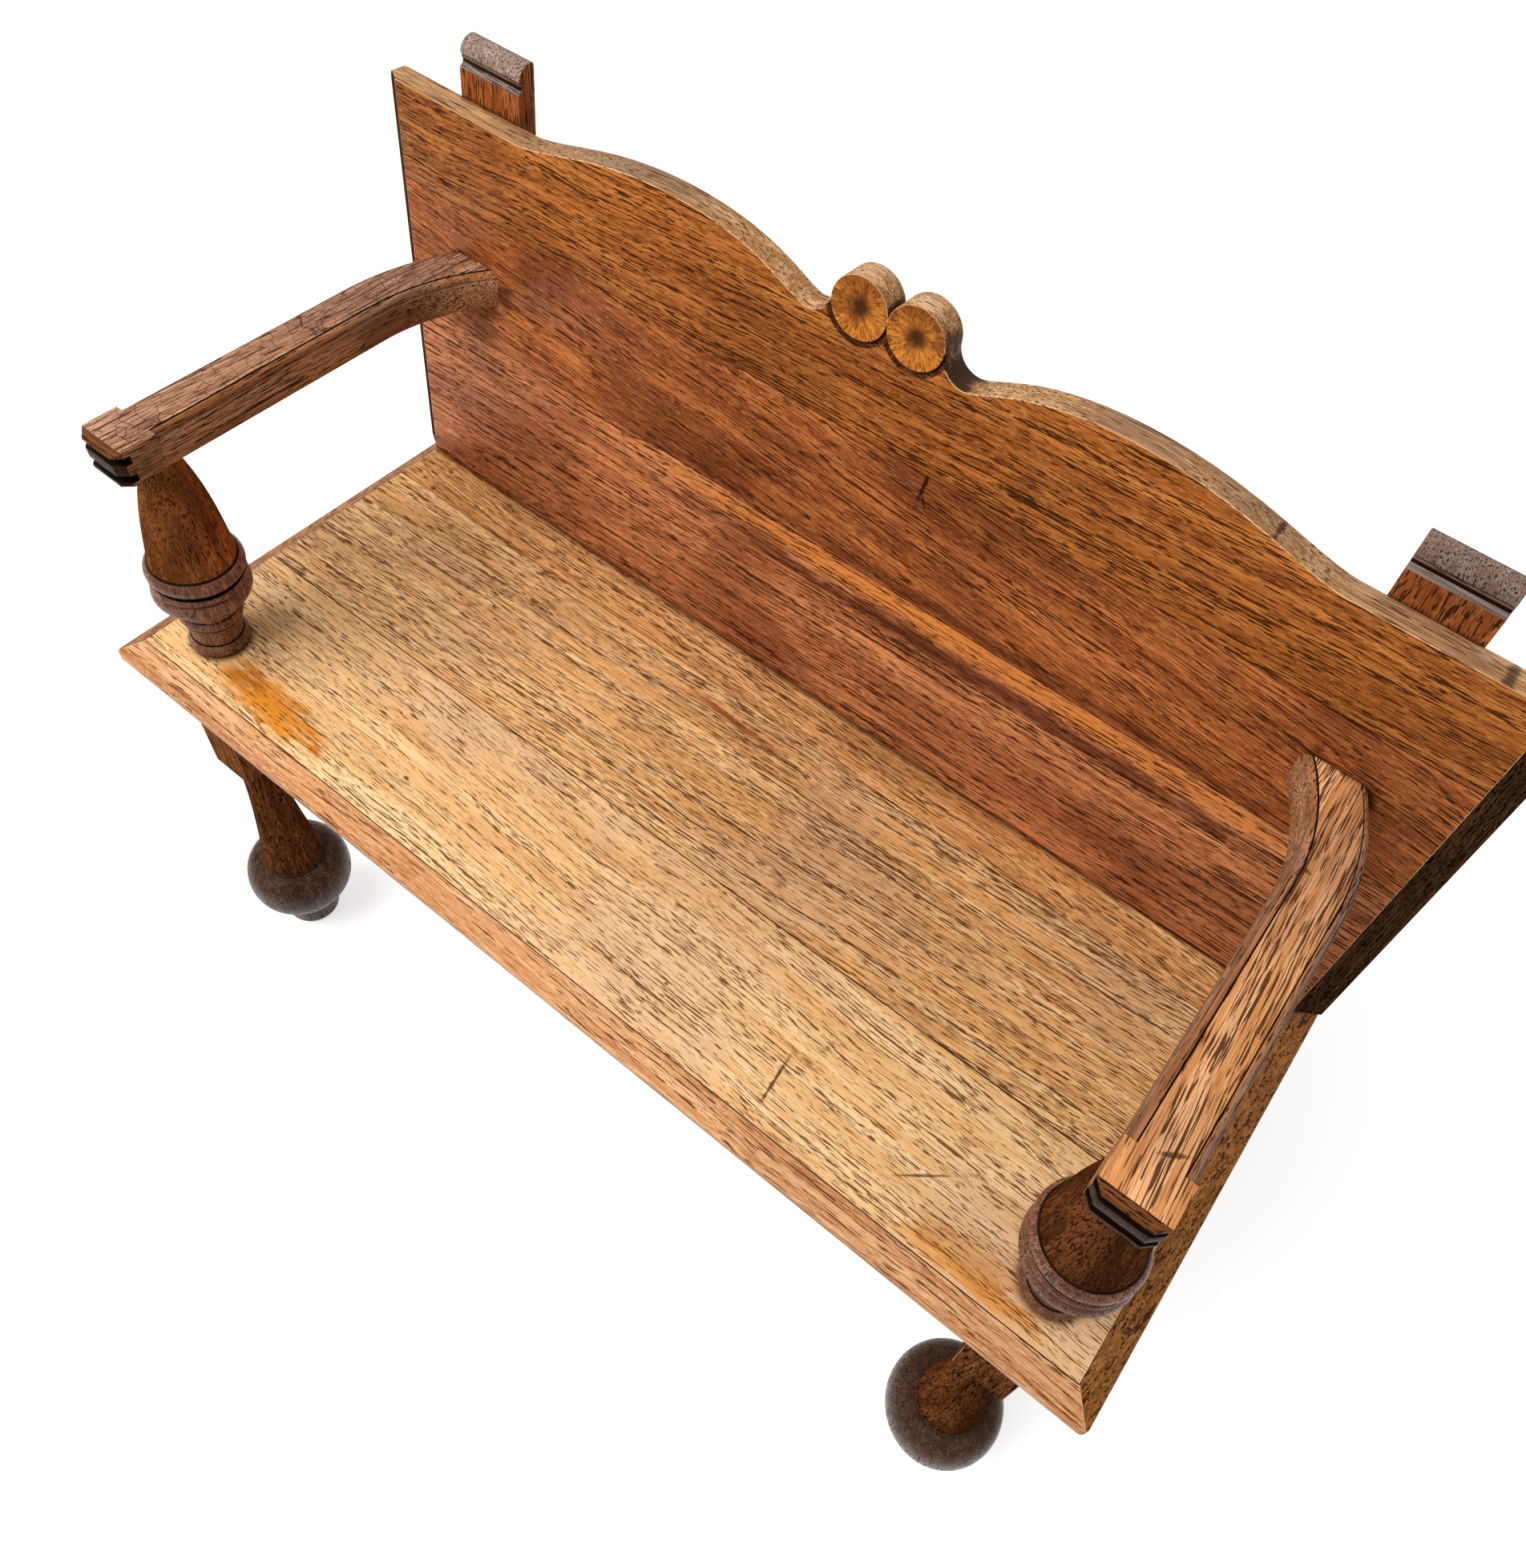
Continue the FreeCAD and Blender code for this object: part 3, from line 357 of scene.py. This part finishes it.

# Worn arrises give a pale line, and the joints a thin dark one. The end grain is a very
# dark brown, darkened further by painted shade, and the gouge cuts beside and between the discs are dark.
worn_back = oak("polished_oak_worn_through", "X", "#F4CFA0", "#D8A874", "#A87448", "#6A4022", pores=0.2)
back_joint = oak("glued_joint_dark_with_polish", "X", "#4A2612", "#38190B", "#261006", "#140803", pores=0.1)
back_edge_oak = oak("polished_oak_top_edge_worn", "X", "#DDAE7E", "#B5814F", "#7E5230", "#4A2A16", pores=0.45,
                    ring=5.0, pore_length=18.0, patch="#8E6A50", patch_share=0.6, marks=edge_marks_and_shade)
back_end_grain_and_shade_oak = oak("polished_oak_end_grain_with_painted_shade", "Z", "#5A3E26", "#402A1A", "#281A10", "#0C0603", ring=4.0,
                   pores=0.7, pore_length=5.0, fleck="#6E4E36", fleck_share=0.4, gloss=0.0)
gouge_oak = oak("gouged_oak_dark", "X", "#6A4022", "#4A2814", "#2E170A", "#150904", pores=0.6)


def carved_disc(name, light, middle, dark, heart):
    """Both carved discs, bright orange brown: the chisel cuts, which are colour only, run out
    from a dark heart, and painted shade darkens the upper part of the dish and the crease at its rim."""
    material = bpy.data.materials.new(name)
    tree = new_tree(material)
    place = add(tree, "TexCoord").outputs["Object"]
    parts = add(tree, "SeparateXYZ", links={0: place})
    one_side = add(tree, "Math", links={0: parts.outputs[0]}, operation="ABSOLUTE")
    out_x = add(tree, "Math", {1: disc_x}, {0: one_side.outputs[0]}, operation="SUBTRACT")
    up_z = add(tree, "Math", {1: disc_z}, {0: parts.outputs[2]}, operation="SUBTRACT")
    angle = add(tree, "Math", links={0: out_x.outputs[0], 1: up_z.outputs[0]},
                operation="ARCTAN2").outputs[0]
    spot = add(tree, "CombineXYZ", links={0: out_x.outputs[0], 2: up_z.outputs[0]}).outputs[0]
    radius = add(tree, "VectorMath", links={0: spot}, operation="LENGTH").outputs["Value"]
    cuts_round = add(tree, "Math", {1: 5.0}, {0: angle}, operation="MULTIPLY")
    cuts_out = add(tree, "Math", {1: 1 / (14 * MM)}, {0: radius}, operation="MULTIPLY")
    which = add(tree, "Math", {1: 1 / (40 * MM)}, {0: parts.outputs[0]}, operation="MULTIPLY")
    cuts = add(tree, "CombineXYZ",
               links={0: cuts_round.outputs[0], 1: cuts_out.outputs[0], 2: which.outputs[0]})
    rays = add(tree, "TexNoise", {"Scale": 1.0, "Detail": 2.0}, {"Vector": cuts.outputs[0]}).outputs["Fac"]
    fine = add(tree, "TexNoise", {"Scale": 3.0, "Detail": 2.0}, {"Vector": cuts.outputs[0]}).outputs["Fac"]
    cloud = add(tree, "TexNoise", {"Scale": 1 / (14 * MM), "Detail": 3.0}, {"Vector": place}).outputs["Fac"]
    colour = add(tree, "Mix", {6: linear(light), 7: linear(middle)}, {0: rays}, data_type="RGBA").outputs[2]
    colour = laid(tree, colour, fine, 0.48, 0.62, 0.75, dark)
    colour = laid(tree, colour, rays, 0.44, 0.34, 0.6, light)
    colour = laid(tree, colour, cloud, 0.50, 0.64, 0.6, dark)
    colour = laid(tree, colour, radius, 13 * MM, 3 * MM, 0.9, heart)
    # Painted shade: the upper part of the dish and the crease at its rim are darkened.
    colour = laid(tree, colour, up_z.outputs[0], 4 * MM, 20 * MM, 0.6, dark)
    crease_shade = add(tree, "AmbientOcclusion", {"Distance": 4 * MM}, samples=8).outputs["AO"]
    colour = laid(tree, colour, crease_shade, 0.85, 0.45, 0.8, heart)
    finish(tree, colour, fine, rays, 0.45, 0.2, light, 0.8)
    return material


disc_oak = carved_disc("carved_oak_disc_bright", "#E2903A", "#A8602A", "#5E2C10", "#24120A")

# Marks of the boards: an orange stripe over a dark band, a jagged black scar in the
# middle, and painted shadows of both arms beside their ends.
back_finish = {
    "back_lower_board": dict(
        light="#E69862", middle="#BA6E46", dark="#80442A", pore="#3C1606", pores=0.75, turn=(0, 1.0, 0),
        ring=6.0, row=1.7, patch="#7A3E22", patch_share=0.5, fleck="#D8935A", fleck_share=0.6,
        marks=(((130, 170, 630), (420, 60, 17), (0, 0, 0), "#DE8A44", 0.95),
               ((150, 170, 606), (420, 60, 13), (0, 0, 0), "#54261A", 0.75))),
    "back_middle_board": dict(
        light="#CC7A42", middle="#9C542C", dark="#602E16", pore="#3A180A", pores=0.7, turn=(0, -6.0, 0),
        offset=(0.3, 0.1, 0.7), ring=10.0, patch="#6A361E", patch_share=0.6,
        fleck="#D2864A", fleck_share=0.6,
        marks=(((57, 175, 751), (2.4, 60, 25), (0, 8, 0), "#1A0A05", 0.95),
               ((60, 175, 738), (2.0, 60, 10), (0, -24, 0), "#1A0A05", 0.9),
               ((130, 170, 648), (400, 60, 8), (0, 0, 0), "#4A2218", 0.6),
               # Painted shadows of the arms on the back.
               ((425, 175, 700), (16, 60, 22), (0, 20, 0), "#1E1009", 0.75),
               ((-372, 175, 700), (14, 60, 18), (0, 20, 0), "#1E1009", 0.7))),
    "back_top_board": dict(
        light="#C87A3A", middle="#9E5826", dark="#6C3414", pore="#35160A", pores=0.75, turn=(0, 1.5, 0),
        offset=(0.7, 0.4, 0.2), ring=9.0, row=1.5, patch="#75401E", patch_share=0.35, fleck="#CC8A48",
        fleck_share=0.5),
}


def disc_way(point):
    """How far a point lies from the middle of the nearer disc, seen from the front."""
    return math.hypot(abs(point.x) - disc_x, point.z - disc_z)


# The dishes and the gouge cuts round them, each down to a depth below the face.
dish_depth = 2.6 * MM
gouge_depth = 3.4 * MM
gouge_width = 5.2 * MM
end_grain_x = 480 * MM
ON_FACE, WORN, AT_END, ON_EDGE, IN_DISH, IN_GOUGE, IN_JOINT = range(7)
for node, look in back_finish.items():
    face_oak = oak("polished_oak_" + node, "X", roughness=0.45, gloss=0.07, grime_and_shade_reach=9.0, **look)
    materials = [face_oak, worn_back, back_end_grain_and_shade_oak, back_edge_oak, disc_oak, gouge_oak, back_joint]
    board = eased_copy(node, 0.5, materials, worn=WORN, joint=IN_JOINT)
    stands_for(board, node)
    foremost = max(vertex.co.dot(panel_front) for vertex in board.data.vertices)
    for face in board.data.polygons:
        facing = face.normal.dot(panel_front)
        depth = foremost - face.center.dot(panel_front)
        way = disc_way(face.center)
        shaped = node == "back_top_board" and face.center.z > back_low.z + 5 * MM
        carved = shaped and facing < 0.995 and depth < gouge_depth and face.center.z < disc_z
        if abs(face.normal.x) > 0.45 and abs(face.center.x) > end_grain_x:
            face.material_index = AT_END
        elif shaped and facing > 0.8 and depth < dish_depth and way < disc_r - 0.4 * MM:
            face.material_index = IN_DISH
        elif carved and way < disc_r + gouge_width:
            face.material_index = IN_GOUGE
        elif shaped and abs(facing) < 0.5 and face.material_index == ON_FACE:
            face.material_index = ON_EDGE

# Rear posts
# A flat oak post behind each end of the back, screwed to it, the seat and the rear
# rail. Its head stands above the shoulder of the back and is moulded to a ledge, a
# groove, a small bead and a rounded nose, grey against the red brown of the post.

head_z = 864 * MM
post_oak = oak("polished_oak_post", "Z", "#B46C38", "#924E24", "#603014", "#2A1208", ring=8.0, pores=0.6,
               patch="#6A3219", patch_share=0.4)
nose_oak = oak("polished_oak_post_nose_dusty", "Z", "#B49C8E", "#927868", "#6A5246", "#2A1812", ring=4.0,
               pores=0.5, pore_length=3.0, patch="#4E342A", patch_share=0.6, gloss=0.25)
ledge_oak = oak("polished_oak_post_ledge_silver", "X", "#9A8A82", "#786860", "#54443E", "#2E1E18", pores=0.2,
                grime_and_shade=0.3, gloss=0.3)
groove_shade_oak = oak("painted_shade_in_a_groove", "X", "#2E1A10", "#22120A", "#180C06", "#0E0603",
                 pores=0.1)
bead_line_oak = oak("polished_oak_post_bead", "X", "#9A7864", "#7A5A48", "#583E30", "#2E1A12", pores=0.2,
                    grime_and_shade=0.3)


def beside_head(point):
    """The fine moulding at the front of the head takes about a third of the rounding."""
    return 0.35 if point.z > head_z and point.y < back_middle_y + 12 * MM else 1.0


# The bands of the head, each up to a height above its foot in mm: the groove is a dark
# line of painted shade and the bead a grey one.
ON_POST, ON_NOSE, ON_LEDGE, IN_GROOVE, ON_BEAD = range(5)
head_bands = ((0.8, ON_POST), (4.2, ON_LEDGE), (7.4, IN_GROOVE), (9.9, ON_BEAD), (10.9, IN_GROOVE),
              (30, ON_NOSE))
for side in ("left", "right"):
    node = "rear_post_" + side
    post = eased_copy(node, 0.8, [post_oak, nose_oak, ledge_oak, groove_shade_oak, bead_line_oak],
                      share=beside_head)
    stands_for(post, node)
    for face in post.data.polygons:
        if abs(face.normal.x) <= 0.8:
            height = face.center.z - head_z
            face.material_index = next(band for top, band in head_bands if height < top * MM)

# Arms
# Level oak arms, straight from a sloped and grooved nose, then bent inwards to the back
# and screwed on through it. Both long edges carry a quirk, a rounded ridge and a fillet.
# The tops are pale brown with clouds, the left one crazed and the right one scratched.

arm_low, arm_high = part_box("arm_right")
nose_end = arm_low.y + 36 * MM
arm_look = dict(ring=6.0, pore_length=24.0, pores=0.7)
arm_top_oaks = {
    "left": oak("polished_oak_arm_left_crazed", "Y", "#D8A888", "#B07C5A", "#7E5036", "#3E2012", crazed=0.05,
                patch="#8E6450", patch_share=0.5, turn=(0, 0, 2.0), **arm_look),
    "right": oak("polished_oak_arm_right", "Y", "#FABA84", "#D69258", "#92562C", "#42200C", patch="#9A6A52",
                 patch_share=0.45, turn=(0, 0, -3.0),
                 marks=(((404, 60, 719), (26, 3, 30), (0, 0, -12), "#2E160B", 0.8),
                        ((408, 82, 719), (22, 2, 30), (0, 0, -16), "#2E160B", 0.8),
                        ((440, -140, 719), (12, 2, 30), (0, 0, 30), "#2E160B", 0.8)), **arm_look),
}
# The quirk and the nose grooves are thin dark lines of painted shade, the ridge is a greyish
# brown with a sheen, the fillet a dull pale line, and the front of the nose almost black.
quirk_shade_oak = oak("painted_shade_in_an_arm_quirk", "Y", "#3A2012", "#2A150B", "#1C0D06", "#100703", pores=0.1)
ridge_oak = oak("polished_oak_arm_ridge", "Y", "#C0865A", "#945F3A", "#603C24", "#2A140B", pores=0.4,
                patch="#8A7068", patch_share=0.4, gloss=0.25)
fillet_oak = oak("polished_oak_arm_fillet_worn", "Y", "#B08A72", "#8A644C", "#5E4030", "#2E1A10", pores=0.2,
                 grime_and_shade=0.3)
arm_side_oak = oak("polished_oak_arm_side", "Y", "#C8946C", "#A4724A", "#6A442A", "#2A150C", pores=0.6,
                   patch="#54301C", patch_share=0.5)
nose_slope_oak = oak("polished_oak_arm_nose_slope", "X", "#7A4A2A", "#5E361C", "#3E2210", "#1A0C06",
                     pores=0.5, pore_length=6.0)
under_nose_oak = oak("polished_oak_under_arm_nose", "X", "#3E2617", "#2A180E", "#1A0E07", "#0C0603",
                     pores=0.3)
nose_groove_shade_oak = oak("painted_shade_in_an_arm_nose_groove", "X", "#1C100A", "#140B06", "#0E0704", "#080402",
                      pores=0.1)


def along_moulding(point):
    """Moulding and nose take 0.3 of the rounding, and the other arrises half of it."""
    return 0.3 if 0.3 * MM < arm_high.z - point.z < 8 * MM or point.y < nose_end else 0.5


def within(height, bands):
    """Whether a height lies in one of the bands, which are in mm."""
    return any(low * MM < height < high * MM for low, high in bands)


# How far below the top each band of the moulding and of the nose ends.
ON_TOP, IN_QUIRK, ON_RIDGE, ON_FILLET, ON_SIDE, ON_SLOPE, UNDER_NOSE, IN_GROOVE = range(8)
quirk_drop = 2.4 * MM
ridge_drop = 6.9 * MM
fillet_drop = 7.4 * MM
slope_drop = 5.2 * MM
nose_grooves = ((5.2, 12.2), (21.7, 28.7))
for side in ("left", "right"):
    node = "arm_" + side
    arm = eased_copy(node, 1.0, [arm_top_oaks[side], quirk_shade_oak, ridge_oak, fillet_oak, arm_side_oak,
                                 nose_slope_oak, under_nose_oak, nose_groove_shade_oak], share=along_moulding)
    stands_for(arm, node)
    for face in arm.data.polygons:
        drop = arm_high.z - face.center.z
        if drop < 0.3 * MM and face.normal.z > 0.8:
            face.material_index = ON_TOP
        elif face.center.y < nose_end and drop < slope_drop:
            face.material_index = ON_SLOPE
        elif face.center.y < nose_end and abs(face.normal.x) > 0.8:
            face.material_index = ON_SIDE
        elif face.center.y < nose_end:
            # The nose grooves are painted shade.
            face.material_index = IN_GROOVE if within(drop, nose_grooves) else UNDER_NOSE
        elif drop < quirk_drop and face.normal.z < 0.6:
            face.material_index = IN_QUIRK
        elif drop < ridge_drop:
            face.material_index = ON_RIDGE
        elif drop < fillet_drop and face.normal.z > 0.6:
            face.material_index = ON_FILLET
        else:
            face.material_index = ON_SIDE

# Arm supports
# Oak balusters turned on a lathe and tenoned into seat and arm: a ring foot, a pair
# of beads, and a bulb that tapers to the arm. The bulb is a plain brown, painted darker on the
# right as shade under the arm, and the beads are greyer and shine, with dark grooves of painted shade between
# them.

# The right bulb's colours are darker as painted shade.
bulb_looks_and_shade = {"left": ("#B86E3A", "#864E28", "#542C16", "#200E05"),
              "right": ("#744424", "#4C2A16", "#2C160A", "#120703")}
bead_oak = oak("polished_oak_beads_grey_with_wax", "Z", "#A0705A", "#724A36", "#44281C", "#160A05", pores=0.3,
               ring=4.0, pore_length=4.0, patch="#4E2E1C", patch_share=0.5, grime_and_shade=1.0, grime_and_shade_reach=5.0,
               roughness=0.34, gloss=0.5)

# Heights of the grooves between rings and beads, above the seat and along the leaning
# axis of the support in mm. The bulb starts above the last of them.
ON_BULB, ON_BEADS, IN_GROOVE = range(3)
turned_grooves = ((13.4, 15.0), (35.6, 37.2), (45.9, 47.4), (62.5, 64.3), (80.9, 81.9), (87.7, 91.1),
                  (105.9, 107.6))
bulb_start = 107 * MM
for side in ("left", "right"):
    node = "arm_support_" + side
    bulb_oak = oak("polished_oak_bulb_" + side, "Z", *bulb_looks_and_shade[side], ring=9.0, pores=0.4,
                   patch="#47240F", patch_share=0.5, gloss=0.0, grime_and_shade=0.85)
    # The grooves between rings and beads are a dark line of painted shade.
    support = eased_copy(node, 0, [bulb_oak, bead_oak, groove_shade_oak])
    stands_for(support, node)
    corners = [vertex.co for vertex in support.data.vertices if seat_top < vertex.co.z]
    foot_ring = [corner for corner in corners if corner.z < seat_top + 13 * MM]
    bulb_ring = [corner for corner in corners if corner.z > seat_top + 150 * MM]
    foot = sum(foot_ring, Vector()) / len(foot_ring)
    axis = (sum(bulb_ring, Vector()) / len(bulb_ring) - foot).normalized()
    for face in support.data.polygons:
        height = (face.center - foot).dot(axis) + foot.z - seat_top
        if within(height, turned_grooves):
            face.material_index = IN_GROOVE
        elif height < bulb_start:
            face.material_index = ON_BEADS
        else:
            face.material_index = ON_BULB

# Front legs
# Square oak blocks that take the rails, turned below into a column that widens down
# to the bun foot. The column is darker than the block, with paler worn arrises.

leg_oak = oak("polished_oak_leg", "Z", "#804C28", "#583018", "#341A0C", "#120603", ring=6.0, pores=0.6,
              patch="#34180A", patch_share=0.6, gloss=0.0)
block_oak = oak("polished_oak_leg_block", "Z", "#A6683A", "#7C4A28", "#52301A", "#1A0A04", ring=5.0,
                pores=0.7, patch="#3A1E0E", patch_share=0.5, gloss=0.0)
worn_leg = oak("polished_oak_leg_worn", "Z", "#9A6A44", "#7A4C2C", "#523018", "#281208", pores=0.3)
block_height = 171 * MM
ON_COLUMN, WORN, ON_BLOCK = range(3)
for side in ("left", "right"):
    node = "front_leg_" + side
    leg = eased_copy(node, 0.9, [leg_oak, worn_leg, block_oak], worn=WORN)
    stands_for(leg, node)
    for face in leg.data.polygons:
        if face.center.z > seat_top - block_height and face.material_index == ON_COLUMN:
            face.material_index = ON_BLOCK

# Bun feet
# Turned oak buns with a collar above and a short toe below, glued on the spigot of
# the leg. They are dark brown and shine, and their cracks are drawn as a fine net.

bun_oak = oak("polished_oak_bun", "Z", "#664A3C", "#422B20", "#261610", "#0E0704", ring=6.0, pores=0.5,
              pore_length=9.0, patch="#54402F", patch_share=0.4, crazed=0.03, roughness=0.34, gloss=0.5)
for side in ("left", "right"):
    node = "bun_foot_" + side
    bun = eased_copy(node, 0, [bun_oak])
    stands_for(bun, node)

# Rear legs
# Plain square oak legs, tapered below the rails that are tenoned into them. The photo
# doesn't show them, and their dull brown stain is a guess.


def wears(node, material):
    """Give a solid of the frame, which is drawn as it is, its material."""
    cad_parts[node].data.materials.clear()
    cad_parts[node].data.materials.append(material)


rear_leg_oak = oak("stained_oak_rear_leg", "Z", "#7C4C2A", "#5E351B", "#40220F", "#221008", pores=0.5)
for side in ("left", "right"):
    wears("rear_leg_" + side, rear_leg_oak)

# Rails
# Oak rails under the seat, tenoned into the legs. The photo doesn't show them, and the
# bare wood gone greyish brown is a guess.

rail_colours = ("#A58463", "#8A6A4C", "#6A4E36", "#3E2A1A")
rail_oak = oak("bare_oak_rail", "X", *rail_colours, pores=0.5, roughness=0.6)
side_rail_oak = oak("bare_oak_side_rail", "Y", *rail_colours, pores=0.5, roughness=0.6)
for node in ("front_rail", "rear_rail", "side_rail_left", "side_rail_right"):
    wears(node, side_rail_oak if node.startswith("side") else rail_oak)

# Glue blocks
# Short blocks glued into the corner of seat and rail and screwed to both. The photo
# doesn't show them, and bare yellowish softwood is a guess.

bare_pine = oak("bare_pine_block", "X", "#D2A873", "#BC8F5C", "#9A7145", "#7A5532", ring=5.0, pores=0.1,
                roughness=0.65, relief=0.2)
wears("glue_blocks", bare_pine)

# Dowels
# Dowels glued into bored holes in the joints of seat and back, and between the two.
# None of them shows, and pale beech is a guess.

bare_beech = oak("bare_beech_dowel", "Y", "#DDB58C", "#CDA27A", "#B58A63", "#9A7350", ring=2.0, pores=0.1,
                 roughness=0.6, relief=0.1)
for node in ("seat_dowels", "back_dowels", "back_foot_dowels"):
    wears(node, bare_beech)

# Screws
# Slotted steel wood screws, countersunk, that hold posts, arms and glue blocks. The
# photo doesn't show them. They are drawn a dull grey, with a little brown rust.

screw_steel = bpy.data.materials.new("dull_steel_screw")
tree = new_tree(screw_steel)
place = add(tree, "TexCoord").outputs["Object"]
rust = add(tree, "TexNoise", {"Scale": 1 / (3 * MM), "Detail": 3.0}, {"Vector": place})
rusted = add(tree, "MapRange", {"From Min": 0.45, "From Max": 0.65}, {"Value": rust.outputs["Fac"]})
colour = add(tree, "Mix", {6: linear("#8C8A86"), 7: linear("#5A4436")}, {0: rusted.outputs[0]},
             data_type="RGBA")
dull = add(tree, "Math", {1: 0.3, 2: 0.35}, {0: rusted.outputs[0]}, operation="MULTIPLY_ADD")
shader = add(tree, "BsdfPrincipled", {"Metallic": 1.0},
             {"Base Color": colour.outputs[2], "Roughness": dull.outputs[0]})
add(tree, "OutputMaterial", links={"Surface": shader.outputs[0]})
for node in ("post_screws", "arm_screws", "glue_block_screws"):
    wears(node, screw_steel)

# Floor and light
# A plain white floor under a broad soft light from above and a pale sky all round.
# The camera and reflections see both brighter than they light the bench.


def seen_directly(tree):
    """1 for rays from the camera, and for mirrored and transmitted ones, and 0 for the rest."""
    ray = add(tree, "LightPath")
    mirrored = add(tree, "Math", links={0: ray.outputs["Is Camera Ray"], 1: ray.outputs["Is Glossy Ray"]},
                   operation="MAXIMUM")
    either = add(tree, "Math", links={0: mirrored.outputs[0], 1: ray.outputs["Is Transmission Ray"]},
                 operation="MAXIMUM")
    return either.outputs[0]


bpy.ops.object.select_all(action="DESELECT")
bpy.ops.mesh.primitive_plane_add(size=60.0)
floor = bpy.context.object
floor.name = "studio_floor"
floor_paint = bpy.data.materials.new("white_studio_floor")
tree = new_tree(floor_paint)
matt = add(tree, "BsdfDiffuse", {"Color": linear("#E4E4E4")})
glow = add(tree, "Emission", {"Color": (1, 1, 1, 1), "Strength": 0.62})
lifted = add(tree, "AddShader", links={0: matt.outputs[0], 1: glow.outputs[0]})
paint = add(tree, "MixShader", links={0: seen_directly(tree), 1: matt.outputs[0], 2: lifted.outputs[0]})
add(tree, "OutputMaterial", links={"Surface": paint.outputs[0]})
floor.data.materials.append(floor_paint)

sky = bpy.data.worlds.new("studio_sky")
bpy.context.scene.world = sky
tree = new_tree(sky)
level = add(tree, "MapRange", {"To Min": 0.44, "To Max": 1.0}, {"Value": seen_directly(tree)})
background = add(tree, "Background", {"Color": (1, 1, 1, 1)}, {"Strength": level.outputs[0]})
add(tree, "OutputWorld", links={"Surface": background.outputs[0]})

lamp = bpy.data.objects.new("soft_box", bpy.data.lights.new("soft_box", "AREA"))
lamp.data.shape = "SQUARE"
lamp.data.size = 2.4
lamp.data.energy = 100.0
lamp.location = (-1.1, -1.6, 3.2)
lamp_aim = Vector((0, 0, 0.5))
lamp.rotation_euler = (lamp_aim - lamp.location).to_track_quat("-Z", "Y").to_euler()
bpy.context.scene.collection.objects.link(lamp)

# Camera
# Above and to the right of the bench's middle, close to it and a little tilted, as
# fitted to the photo.

camera = bpy.data.objects.new("camera", bpy.data.cameras.new("camera"))
camera.location = (0.36978, -0.48571, 1.39726)
camera.rotation_euler = [math.radians(angle) for angle in (36.6136, -5.5440, 37.1662)]
camera.data.lens = 29.7097
camera.data.shift_x = -0.0302
camera.data.shift_y = -0.0345
camera.data.clip_start = 0.05
bpy.context.scene.collection.objects.link(camera)
bpy.context.scene.camera = camera

bpy.context.scene.view_settings.view_transform = "Standard"
